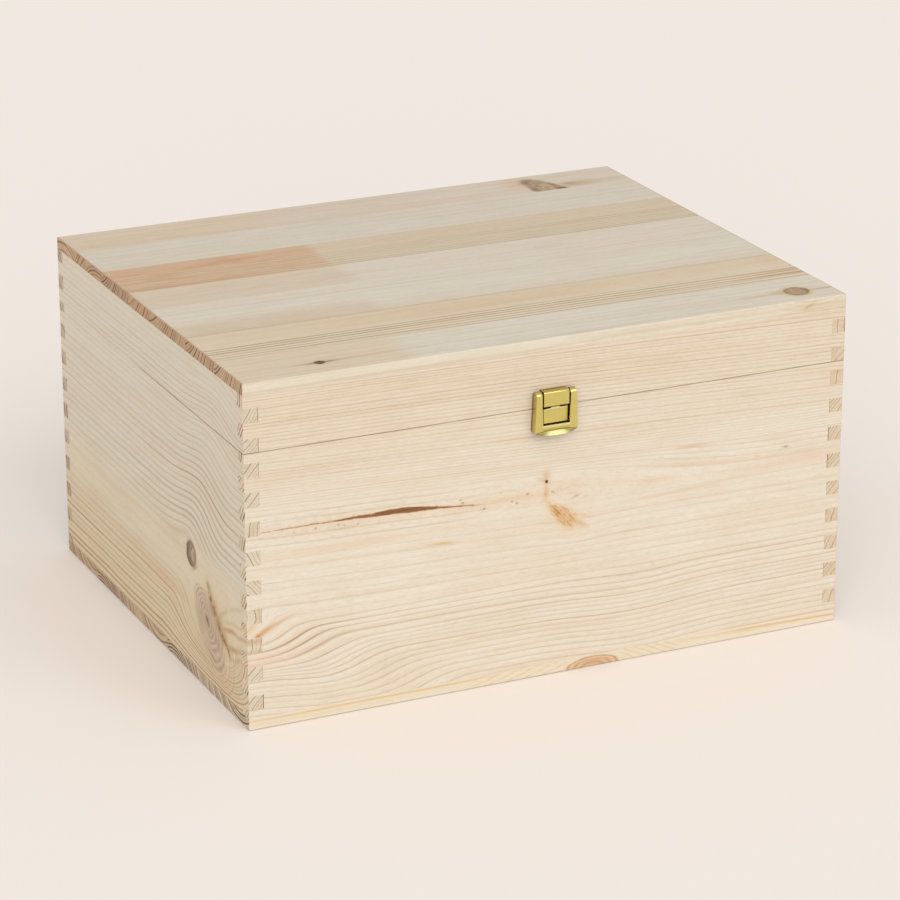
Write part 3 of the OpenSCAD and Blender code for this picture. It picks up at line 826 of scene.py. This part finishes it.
def top7_paint(w, c):
    nt, u, t, n = w.nt, w.u, w.tt, w.noise
    up = op(nt, "GREATER_THAN", w.nz, 0.5)
    wob = n(u * 0.3, t * 0.3, 5.0, detail=3.0) - 0.5
    tail = bump2(u, t, 48.0, 265.4, 17.0, 1.0) + bump2(u, t, 78.0, 264.2, 26.0, 1.3) * 0.45
    c = cover(c, tail * 0.7, wc(186, 150, 112))
    c = cover(c, bump2(u, t, 50.0, 264.6, 6.5, 3.6) * 0.45, wc(200, 166, 130))
    d1 = oval(u, t, 48.4, 265.2, 1.15, 1.0) + wob * 1.8
    c = cover(c, bump2(u, t, 44.5, 265.4, 3.4, 0.9) * 0.6, wc(130, 96, 62))
    c = cover(c, bump2(u, t, 53.0, 265.2, 3.4, 1.0) * 0.6, wc(134, 98, 62))
    c = cover(c, step(d1, 3.3, 2.0) * 0.95, wc(96, 66, 36))
    # round knot near the right front corner
    d2 = oval(u, t, 327.8, 264.6, 1.0, 0.95) + wob * 2.0
    c = cover(c, bump2(u, t, 306.0, 263.6, 17.0, 1.6) * 0.5, wc(202, 172, 130))
    c = cover(c, bump2(u, t, 344.0, 265.2, 14.0, 1.4) * 0.65, wc(186, 156, 112))
    c = cover(c, step(d2, 12.0, 7.0) * 0.7, wc(220, 188, 132))
    c = cover(c, bump2(u, t, 317.5, 263.0, 4.5, 4.0) * 0.4, wc(202, 164, 112))
    c = cover(c, step(d2, 7.9, 6.6) * 0.85, wc(148, 112, 66))
    c = cover(c, step(d2, 6.5, 5.0) * 0.92, wc(194, 164, 132))
    grainy = n((u + t) * 0.20, (u - t) * 1.0, 3.0, detail=4.0, rough=0.65)
    c = cover(c, step(d2, 6.8, 5.2) * step(grainy, 0.44, 0.60) * 0.60, wc(154, 124, 94))
    c = cover(c, step(d2, 8.2, 6.6) * bump2(u, t, 334.6, 264.0, 2.2, 6.0) * 0.75, wc(140, 104, 60))
    c = cover(c, bump1(t, 277.6, 0.6) * step(u, 120.0, 150.0) * step(u, 232.0, 200.0) * n(u * 0.03, 5.0) * up * 0.75,
              wc(186, 158, 120))
    # front edge: the round knot's swirl
    edge = op(nt, "LESS_THAN", w.ny, -0.5)
    sw = root((u - 330.0) * (u - 330.0) * 0.10 + (w.z - 193.5) * (w.z - 193.5)) + wob * 1.6
    swl = op(nt, "SINE", sw * 2.9) * 0.5 + 0.5
    c = cover(c, edge * bump1(u, 326.0, 16.0) * swl * 0.4, wc(202, 170, 126))
    c = cover(c, edge * bump2(u, w.z, 327.0, 186.2, 4.0, 0.9, 25.0) * 0.6, wc(186, 142, 94))
    c = cover(c, edge * bump2(u, w.z, 60.0, 184.6, 60.0, 0.8) * 0.35, wc(206, 178, 140))
    streaks = n(u * 0.010, w.z * 0.8, 51.0, detail=3.0)
    c = cover(c, edge * step(streaks, 0.50, 0.66) * 0.45, wc(216, 192, 158))
    return c


LID = [
    dict(base=(226, 211, 191), line=(206, 186, 160), spacing=7.5, gain=0.28, tilt=0.8, pith=(6, 36),
         ends=((212, 178, 140), (150, 106, 70), 2.3), setup=top1, paint=top1_paint),
    dict(base=(226, 215, 197), line=(208, 195, 174), spacing=7.0, gain=0.28, tilt=-0.7, pith=(-14, 32),
         ends=((206, 172, 134), (136, 96, 62), 2.1)),
    dict(base=(225, 208, 181), line=(200, 176, 142), spacing=3.1, gain=0.9, tilt=1.1, pith=(30, -20),
         ends=((200, 162, 128), (98, 66, 42), 1.9), setup=top3),
    dict(base=(230, 218, 200), line=(209, 191, 168), spacing=6.5, gain=0.55, tilt=0.9, pith=(24, -18),
         ends=((208, 170, 132), (104, 70, 44), 1.9), setup=top4),
    dict(base=(231, 221, 202), line=(212, 199, 176), spacing=6.0, gain=0.55, tilt=-0.9, pith=(34, -26),
         ends=((210, 174, 136), (116, 78, 50), 2.0), setup=top5, paint=top5_paint),
    dict(base=(234, 216, 189), line=(194, 166, 130), spacing=3.7, gain=1.0, tilt=1.0, pith=(28, -16),
         ends=((210, 174, 138), (102, 68, 44), 1.8), setup=top6, paint=top6_paint),
    dict(base=(232, 223, 205), line=(207, 188, 162), spacing=6.0, gain=0.6, tilt=1.0, pith=(26, -14),
         ends=((216, 182, 146), (108, 76, 50), 1.9), setup=top7, paint=top7_paint),
]


def bottom_edge(w, c):
    """The bottom panel's front edge: pale, with a few yellow lines and half a knot."""
    nt, u, z, n = w.nt, w.u, w.z, w.noise
    edge = op(nt, "LESS_THAN", w.ny, -0.5)
    tone = n(u * 0.02, z * 0.5, 3.0)
    lift = (n(u * 0.012, 1.0, 5.0) - 0.5) * 2.5
    c = cover(c, edge * 0.45, wc(233, 221, 199))
    c = cover(c, edge * bump1(z + lift, 5.0, 0.55) * step(u, 150.0, 118.0) * (tone * 0.9 + 0.3), wc(220, 186, 130))
    c = cover(c, edge * bump1(z + lift, 2.6, 0.4) * step(u, 120.0, 60.0) * tone * 0.7, wc(224, 196, 146))
    c = cover(c, edge * bump1(z + (u - 285.0) * 0.018, 4.9, 0.6) * step(u, 268.0, 300.0) * 0.8, wc(222, 178, 116))
    c = cover(c, edge * bump1(z + (u - 285.0) * 0.05, 4.0, 0.4) * step(u, 250.0, 262.0) * step(u, 312.0, 296.0) * 0.5,
              wc(222, 186, 134))
    # slanting lines on both sides of the knot
    sl = fract((u + z * 2.2) / 6.2 + tone * 0.6)
    c = cover(c, edge * step(sl, 0.55, 0.8) * step(sl, 1.0, 0.85) * step(u, 214.0, 219.0) * step(u, 256.0, 246.0) * 0.55,
              wc(218, 190, 128))
    sl = fract((u - z * 3.4) / 11.0 + tone)
    c = cover(c, edge * step(sl, 0.6, 0.8) * step(sl, 1.0, 0.88) * step(u, 122.0, 136.0) * step(u, 188.0, 178.0) * 0.5,
              wc(220, 192, 134))
    dk = oval(u, z, 199.0, -0.4, 16.0, 6.2) + (tone - 0.5) * 0.25
    c = cover(c, edge * step(dk, 1.05, 0.90) * 0.7, wc(222, 184, 142))
    arcs = bump1(dk, 0.98, 0.06) + bump1(dk, 0.72, 0.07) * 0.8 + bump1(dk, 0.45, 0.10) * 0.8
    c = cover(c, edge * arcs * 0.75, wc(184, 134, 84))
    return cover(c, edge * bump2(u, z, 199.0, 1.5, 7.0, 1.6) * 0.5, wc(206, 158, 120))


BOTTOM = [
    dict(base=(228, 215, 194), line=(200, 174, 140), spacing=4.6, gain=0.8, tilt=-0.9, pith=(-18, -20)),
    dict(base=(226, 211, 187), line=(196, 166, 128), spacing=3.6, gain=0.9, tilt=0.9, pith=(22, 24)),
    dict(base=(230, 218, 198), line=(204, 180, 146), spacing=5.4, gain=0.7, tilt=-0.8, pith=(-14, -22)),
    dict(base=(225, 209, 184), line=(194, 164, 126), spacing=4.0, gain=0.9, tilt=0.9, pith=(20, 26)),
    dict(base=(236, 226, 204), line=(222, 202, 166), spacing=5.2, gain=0.5, tilt=-0.9, pith=(-16, -24), paint=bottom_edge),
]

M_FRONT, M_BACK, M_LEFT, M_RIGHT = front_wood(), back_wood(), left_wood(), right_wood()
LID_MATS = [strip(f"pine_lid_{i + 1}", 50.0 + 3 * i, LID_Y[i + 1], LID_Y[i], glue=i < 6, **d) for i, d in enumerate(LID)]
BOTTOM_ENDS = [((212, 186, 154), (120, 90, 64), 2.2), ((212, 188, 158), (112, 84, 58), 2.0), ((218, 194, 162), (112, 84, 58), 2.1),
               ((222, 202, 174), (98, 74, 50), 1.9), ((226, 208, 182), (96, 72, 48), 1.9)]
BOTTOM_MATS = [strip(f"pine_bottom_{i + 1}", 90.0 + 3 * i, BOTTOM_Y[i + 1], BOTTOM_Y[i], glue=False, z_top=PANEL,
                     ends=BOTTOM_ENDS[i], wave=5.0, **d) for i, d in enumerate(BOTTOM)]


# ---------------------------------------------------------------- metal

LX, LY, LZ = -1.6, -140.0, SAW          # the latch's own zero: middle, front wall's face, saw cut


def brass(name, base, rough, latch=False):
    m, nt, bsdf = new_material(name)
    (x, y, z), (nx, ny, nz) = coords(nt)
    cloudy = noise(nt, x * 0.35, y * 0.35, z * 0.35, detail=3.0)
    fine = noise(nt, x * 4.0, y * 4.0, z * 4.0, detail=2.0)
    c = mixc(nt, (cloudy - 0.4) * 1.4, base, (base[0] * 0.9, base[1] * 0.87, base[2] * 0.8, 1.0))
    r = fine * 0.08 + cloudy * 0.08 + (rough - 0.08)
    if latch:
        # painted shade: the brass is darkened towards the wood and in the slots between the sheets
        dark = (0.12, 0.075, 0.016, 1.0)
        xs = x - LX
        dx, h, d = absol(xs), z - LZ, LY - y
        deep = step(d, 3.4, 0.2)
        side = step(absol(nx), 0.55, 0.9)
        # painted shade on the brass towards the wood
        c = cover(c, deep * 0.75, dark)
        black = (0.20, 0.13, 0.028, 1.0)
        pale = (0.90, 0.83, 0.47, 1.0)
        front = step(ny, -0.6, -0.8)
        # painted shade on the frame's outer flanks
        c = cover(c, side * step(dx, 9.6, 10.2) * 0.22, dark)
        # painted shade: the window's inner sides are painted near black
        slot = side * step(dx, 9.0, 8.6) * step(d + step(h, 2.6, 1.6) * 0.85, 5.46, 5.25)
        c = cover(c, slot * 0.93, black)
        # painted shade on the bar's turned-in top edge under the window
        sill = step(nz, 0.5, 0.8) * bump1(h, -8.3, 0.4) * step(dx, 8.6, 8.3) * step(d, 4.80, 4.55)
        c = cover(c, sill * 0.93, black)
        # painted shade on the catch plate's front beside the arms, and a painted shadow of the left arm
        crevice = front * step(dx, 7.0, 7.36) * step(h, 1.4, 0.6) * step(d, 4.1, 3.9)
        c = cover(c, crevice * 0.8, black)
        shade = front * step(xs + (h - 1.5) * 0.039, -6.72, -6.98) * step(h, 1.4, 0.6) * step(d, 4.1, 3.9)
        c = cover(c, shade * 0.85, (0.20, 0.135, 0.03, 1.0))
        # painted highlights on the catch plate's top edge and on the bar's upper edge
        painted_highlight = step(h, -0.15, 0.18) * step(h, 1.0, 0.8) * step(d, 2.6, 3.2) * step(d, 4.0, 3.85) * step(dx, 7.0, 6.6)
        painted_highlight = painted_highlight + step(h, -9.75, -9.25) * step(h, -8.3, -8.45) * step(d, 4.7, 4.95) * step(dx, 8.0, 7.4) * step(d, 5.6, 5.55)
        c = cover(c, painted_highlight * 0.85, pale)
        # painted shade on faces turned down
        c = cover(c, step(nz, -0.4, -0.8) * 0.7, dark)
        # painted shade on the lower bar below its middle, and a painted highlight on the thumb lip between its painted
        # dark tips
        c = cover(c, front * step(h, -9.4, -10.8) * step(dx, 8.4, 7.6) * step(d, 5.56, 5.5) * 0.35, (0.34, 0.27, 0.06, 1.0))
        # painted shade along the groove arc above the thumb lip
        arc = op(nt, "SUBTRACT", -11.35, dx * dx * 0.00785)
        c = cover(c, bump1(h - arc, 0.10, 0.50) * step(d, 4.9, 5.1) * step(h, -10.6, -10.9) * 0.85, (0.22, 0.17, 0.035, 1.0))
        # painted highlight on the thumb lip, with painted shade at its tips
        lens = step(h - arc, -0.15, -0.6) * step(d, 5.2, 5.4)
        c = cover(c, lens * 0.9, (0.46, 0.425, 0.20, 1.0))
        c = cover(c, lens * step(dx, 6.6, 10.2) * 0.75, (0.30, 0.24, 0.06, 1.0))
        # painted shade on the catch plate's tongue behind the upper plate
        tongue = step(dx, 2.9, 2.5) * step(h, 0.7, 1.0) * step(h, 2.6, 2.2) * step(d, 4.4, 4.0)
        c = cover(c, tongue * 0.8, dark)
        # painted shade on faces turned up that lie back from the front
        c = cover(c, step(nz, 0.75, 0.95) * step(d, 5.2, 4.2) * 0.35, (0.30, 0.17, 0.04, 1.0))
    nt.links.new(c.out, bsdf.inputs["Base Color"])
    bsdf.inputs["Metallic"].default_value = 1.0
    nt.links.new(r.out, bsdf.inputs["Roughness"])
    bn = nt.nodes.new("ShaderNodeBump")
    bn.inputs["Strength"].default_value = 0.12
    bn.inputs["Distance"].default_value = 0.00005
    nt.links.new(fine.out, bn.inputs["Height"])
    nt.links.new(bn.outputs[0], bsdf.inputs["Normal"])
    return m


M_BRASS = brass("latch_brass", (0.75, 0.63, 0.205, 1.0), 0.24, latch=True)
M_HINGE = brass("hinge_brass", (0.70, 0.58, 0.20, 1.0), 0.32)
M_PIN = brass("pin_metal", (0.62, 0.55, 0.34, 1.0), 0.30)


# ---------------------------------------------------------------- wooden pieces with eased edges

def near(a, b, tol=0.02):
    return abs(a - b) < tol


def eased(node, material, rules, shape=None, smooth=None, suffix="_wood"):
    """A copy of a CAD piece with some of its edges rounded. rules: list of (test, width, segments),
    where test takes an edge's middle and direction in mm. shape works on the finished bmesh."""
    src = NODES[node]
    bm = bmesh.new()
    bm.from_mesh(src.data)
    bmesh.ops.remove_doubles(bm, verts=bm.verts, dist=2e-6)
    bmesh.ops.dissolve_limit(bm, angle_limit=math.radians(0.5), verts=bm.verts, edges=bm.edges)
    for test, width, segments in rules:
        pick = []
        for e in bm.edges:
            if len(e.link_faces) != 2 or e.calc_face_angle(0.0) < math.radians(30):
                continue
            a, b = e.verts[0].co * 1000, e.verts[1].co * 1000
            mid, d = (a + b) / 2, (b - a)
            if d.length > 1e-6 and test(mid, d.normalized()):
                pick.append(e)
        if pick:
            bmesh.ops.bevel(bm, geom=pick, offset=width * MM, offset_type="OFFSET", segments=segments,
                            profile=0.5, affect="EDGES", clamp_overlap=True)
    if shape:
        shape(bm)
    bmesh.ops.triangulate(bm, faces=[f for f in bm.faces if len(f.verts) > 4])
    bmesh.ops.recalc_face_normals(bm, faces=bm.faces)
    if smooth:
        for f in bm.faces:
            f.smooth = True
        for e in bm.edges:
            e.smooth = e.is_manifold and e.calc_face_angle(0.0) < math.radians(smooth)
    me = bpy.data.meshes.new(node + suffix)
    bm.to_mesh(me)
    bm.free()
    ob = bpy.data.objects.new(node + suffix, me)
    bpy.context.scene.collection.objects.link(ob)
    me.materials.append(material)
    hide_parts(node)
    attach(ob, BODY_OF[node])
    return ob


def outer_corner(m, d):
    """The upright outer corner edges of the box."""
    return near(abs(m.x), X1) and near(abs(m.y), Y1) and abs(d.z) > 0.9


def saw_outer(m, d):
    """Edges of the saw cut, outside and inside."""
    return near(m.z, SAW) and abs(d.z) < 0.1 and (
        near(abs(m.x), X1) or near(abs(m.y), Y1)
        or (near(abs(m.x), X1 - WALL) and abs(d.y) > 0.9) or (near(abs(m.y), Y1 - WALL) and abs(d.x) > 0.9))


# What is left open behind the side boards' fingers, in mm, from the lowest finger up
LEFT_OPEN = [0.42, 0.10, 0.10, 0.16, 0.06, 0.06, 0.06, 0.08, 0.16, 0.26, 0.28]
RIGHT_OPEN = [0.06, 0.20, 0.08, 0.08, 0.08, 0.42, 0.42, 0.20, 0.12, 0.08, 0.08]


def close_slots(bm):
    for v in bm.verts:
        x, y, z = v.co * 1000
        if 166.3 < abs(x) < 166.75:
            k = max(0, min(10, int((z - 7.3) / 16.0)))
            gap = (LEFT_OPEN if x < 0 else RIGHT_OPEN)[k] if y < 0 else 0.10
            v.co.x = math.copysign(abs(x) + 0.5 - gap, x) * MM
        elif 131.3 < abs(y) < 131.75:
            v.co.y = math.copysign(abs(y) + 0.40, y) * MM


WALL_RULES = [(outer_corner, 0.45, 3), (saw_outer, 0.12, 1)]
for n, m in (("base_front_wall", M_FRONT), ("lid_front_wall", M_FRONT), ("base_back_wall", M_BACK), ("lid_back_wall", M_BACK),
             ("base_left_wall", M_LEFT), ("lid_left_wall", M_LEFT), ("base_right_wall", M_RIGHT), ("lid_right_wall", M_RIGHT)):
    eased(n, m, WALL_RULES, shape=close_slots)


def panel_rim(zout, zin):
    def outside(m, d):
        return near(m.z, zout) and ((near(abs(m.x), X1) and abs(d.y) > 0.9) or (near(abs(m.y), Y1) and abs(d.x) > 0.9))

    def upright(m, d):
        return near(abs(m.x), X1) and near(abs(m.y), Y1) and abs(d.z) > 0.9

    def inside(m, d):
        return near(m.z, zin) and ((near(abs(m.x), X1) and abs(d.y) > 0.9) or (near(abs(m.y), Y1) and abs(d.x) > 0.9))
    return [(lambda m, d: outside(m, d) or upright(m, d), 0.6, 3), (inside, 0.14, 1)]


for i in range(7):
    eased(f"lid_board_{i + 1}", LID_MATS[i], panel_rim(Z1, Z1 - PANEL))
for i in range(5):
    eased(f"bottom_board_{i + 1}", BOTTOM_MATS[i], panel_rim(0.0, PANEL))

for n, o in NODES.items():
    if n.startswith("latch") or "hinge" in n:
        m = M_PIN if n.endswith("_pin") else (M_BRASS if n.startswith("latch") else M_HINGE)
        for k in range(len(o.material_slots)):
            o.material_slots[k].material = m


# ---------------------------------------------------------------- latch sheets with rolled edges

def local(p):
    """x from the latch's middle, height over the saw cut, distance out from the wall, in mm."""
    return p.x - LX, p.z - LZ, LY - p.y


PIN_H, PIN_D, ROLL, FACE = 7.5, 2.9, 2.6, 5.5


def side_x(h):
    """Half of the frame's outer width at a height."""
    return (25.0 + (22.8 - 25.0) * (h + 12.0) / (PIN_H + ROLL + 12.0)) / 2


def on_face(h, d):
    """On the frame's front, or on the roll over its pin."""
    return (near(d, FACE, 0.03) and h <= PIN_H + 0.05) or (h > PIN_H - 0.05 and abs(math.hypot(h - PIN_H, d - PIN_D) - ROLL) < 0.06)


def frame_outside(m, d):
    x, h, dist = local(m)
    return abs(abs(x) - side_x(h)) < 0.05 and on_face(h, dist) and abs(d.x) < 0.3 and h > -11.99


def frame_window(m, d):
    x, h, dist = local(m)
    return abs(abs(x) - 8.15) < 0.03 and on_face(h, dist) and abs(d.x) < 0.3 and h > -8.3


def frame_sill(m, d):
    x, h, dist = local(m)
    return near(h, -8.3, 0.03) and near(dist, FACE, 0.03) and abs(d.x) > 0.9 and abs(x) < 8.2


def frame_shape(bm):
    """The bar turns in above the thumb lip, and the lip comes out again as a lens-shaped scoop."""
    def cut(co, no, test):
        geom = [f for f in bm.faces if test(f)]
        geom += list({e for f in geom for e in f.edges}) + list({v for f in geom for v in f.verts})
        bmesh.ops.bisect_plane(bm, geom=geom, dist=1e-7, plane_co=co, plane_no=no)

    def low(f):
        h = min((v.co.z * 1000 - LZ) for v in f.verts)
        d = max((LY - v.co.y * 1000) for v in f.verts)
        return h < -9.0 and d > 4.6
    for h in (1.5, 5.5):
        cut(Vector((0, 0, (LZ + h) * MM)), Vector((0, 0, 1)), lambda f: True)
    for v in bm.verts:
        x, h, d = local(v.co * 1000)
        if near(abs(x), 8.15, 0.04) and near(d, 4.9, 0.05) and h < 7.6:
            v.co.y = (LY - (3.85 if h > 5.4 else 2.2)) * MM      # the window's edges are folded in
        elif near(d, 4.3, 0.05) and -8.95 < h < -8.25:
            v.co.y = (LY - 2.1) * MM
        if 7.8 < abs(x) < 8.6 and -9.0 < h < 1.6:
            # the window is a little narrower at its foot
            v.co.x = (LX + math.copysign(abs(x) - 0.38 * (1.5 - h) / 9.8, x)) * MM
    for k in range(13):
        cut(Vector((0, 0, (LZ - 9.9 - 0.3 * k) * MM)), Vector((0, 0, 1)), low)
    for k in range(25):
        cut(Vector(((LX - 12.0 + k) * MM, 0, 0)), Vector((1, 0, 0)), low)
    for v in bm.verts:
        x, h, d = local(v.co * 1000)
        if h > -9.6 or d < 4.2:
            continue
        was = FACE if h > -11.0 else (FACE + 0.5 * (-11.0 - h) / 0.9 if h > -11.9 else 6.0 + 0.9 * (-11.9 - h) / 1.8)
        q = min(abs(x) / 11.0, 1.0)
        groove = -11.35 - 0.95 * q * q
        rim_h, rim_d = -13.7 + x * x / 120.0, 6.9 - 1.3 * q ** 4
        if h > groove:
            t = max(0.0, 1.0 - (h - groove) / 0.8)
            now = FACE - 0.25 * t * t
        else:
            now = 5.25 + (rim_d - 5.25) * min(1.0, (groove - h) / max(groove - rim_h, 0.2)) ** 0.95
        t = max(0.0, -10.4 - h) / 2.0
        nx = x - math.copysign(max(abs(x) - 9.0, 0.0) / 3.45 * 0.9 * t * t, x)
        v.co = Vector((LX + nx, LY - (d + now - was), LZ + h)) * MM


def plate_side(m, d):
    x, h, dist = local(m)
    return near(abs(x), 7.4, 0.03) and dist > 4.0 and abs(d.x) < 0.3 and (h > 9.0 or near(dist, 5.4, 0.05))


def plate_foot(m, d):
    x, h, dist = local(m)
    return near(h, 2.1, 0.03) and near(dist, 5.4, 0.03) and abs(d.x) > 0.9


def catch_head(m, d):
    x, h, dist = local(m)
    return near(h, 0.9, 0.03) and near(dist, 3.8, 0.03) and abs(d.x) > 0.9


def catch_side(m, d):
    x, h, dist = local(m)
    return near(abs(x), 7.4, 0.03) and near(dist, 3.8, 0.05) and abs(d.z) > 0.9


def catch_shape(bm):
    """The plate's head stops a little lower, so that a dark gap shows under the upper plate."""
    for v in bm.verts:
        x, h, d = local(v.co * 1000)
        if 0.2 < h < 0.95 and d > 2.0 and abs(x) < 7.5:
            v.co.z = (LZ + h - 0.38) * MM


eased("latch_frame", M_BRASS, [(frame_outside, 0.95, 4), (frame_window, 0.26, 2), (frame_sill, 0.85, 4)],
      shape=frame_shape, smooth=32.0, suffix="_sheet")
eased("latch_lid_plate", M_BRASS, [(plate_side, 0.28, 2), (plate_foot, 0.18, 2)], smooth=32.0, suffix="_sheet")
eased("latch_catch_plate", M_BRASS, [(catch_head, 0.45, 3), (catch_side, 0.22, 2)], shape=catch_shape, smooth=32.0,
      suffix="_sheet")


# ---------------------------------------------------------------- stage, light, camera

def floor_material():
    m, nt, bsdf = new_material("stage_floor")
    bsdf.inputs["Base Color"].default_value = (0.845, 0.775, 0.71, 1.0)
    bsdf.inputs["Roughness"].default_value = 1.0
    bsdf.inputs["Specular IOR Level"].default_value = 0.0
    return m


me = bpy.data.meshes.new("stage_floor")
me.from_pydata([(-14, -14, 0), (14, -14, 0), (14, 14, 0), (-14, 14, 0)], [], [(0, 1, 2, 3)])
me.materials.append(floor_material())
floor = bpy.data.objects.new("stage_floor", me)
bpy.context.scene.collection.objects.link(floor)
floor.location.z = -0.0002

world = bpy.data.worlds.new("studio")
bpy.context.scene.world = world
world.use_nodes = True
bg = world.node_tree.nodes["Background"]
bg.inputs[0].default_value = (0.97, 0.985, 1.0, 1.0)
bg.inputs[1].default_value = 0.72


def sun(name, towards, strength, spread, colour):
    """Soft light from far away: towards points from the object to the light."""
    d = bpy.data.lights.new(name, "SUN")
    d.energy = strength
    d.angle = math.radians(spread)
    d.color = colour
    o = bpy.data.objects.new(name, d)
    o.rotation_euler = Vector(towards).to_track_quat("Z", "Y").to_euler()
    bpy.context.scene.collection.objects.link(o)
    return o


sun("key", (-0.20, -0.46, 0.32), 1.46, 50.0, (1.0, 0.99, 0.985))
sun("second", (0.40, -0.72, 0.58), 0.50, 34.0, (1.0, 0.99, 0.985))

cam_data = bpy.data.cameras.new("camera")
cam_data.sensor_fit = "HORIZONTAL"
cam_data.sensor_width = 36.0
cam_data.lens = 143.927
cam_data.clip_start, cam_data.clip_end = 0.05, 60.0
cam = bpy.data.objects.new("camera", cam_data)
az, el = math.radians(-25.0187), math.radians(20.2152)
back = Vector((math.sin(az) * math.cos(el), -math.cos(az) * math.cos(el), math.sin(el)))
cam.location = (-0.79828, -1.72106, 0.77967)
cam.rotation_mode = "QUATERNION"
cam.rotation_quaternion = (-back).to_track_quat("-Z", "Y")
bpy.context.scene.collection.objects.link(cam)
bpy.context.scene.camera = cam
bpy.context.scene.view_settings.view_transform = "Standard"
bpy.context.scene.view_settings.look = "None"
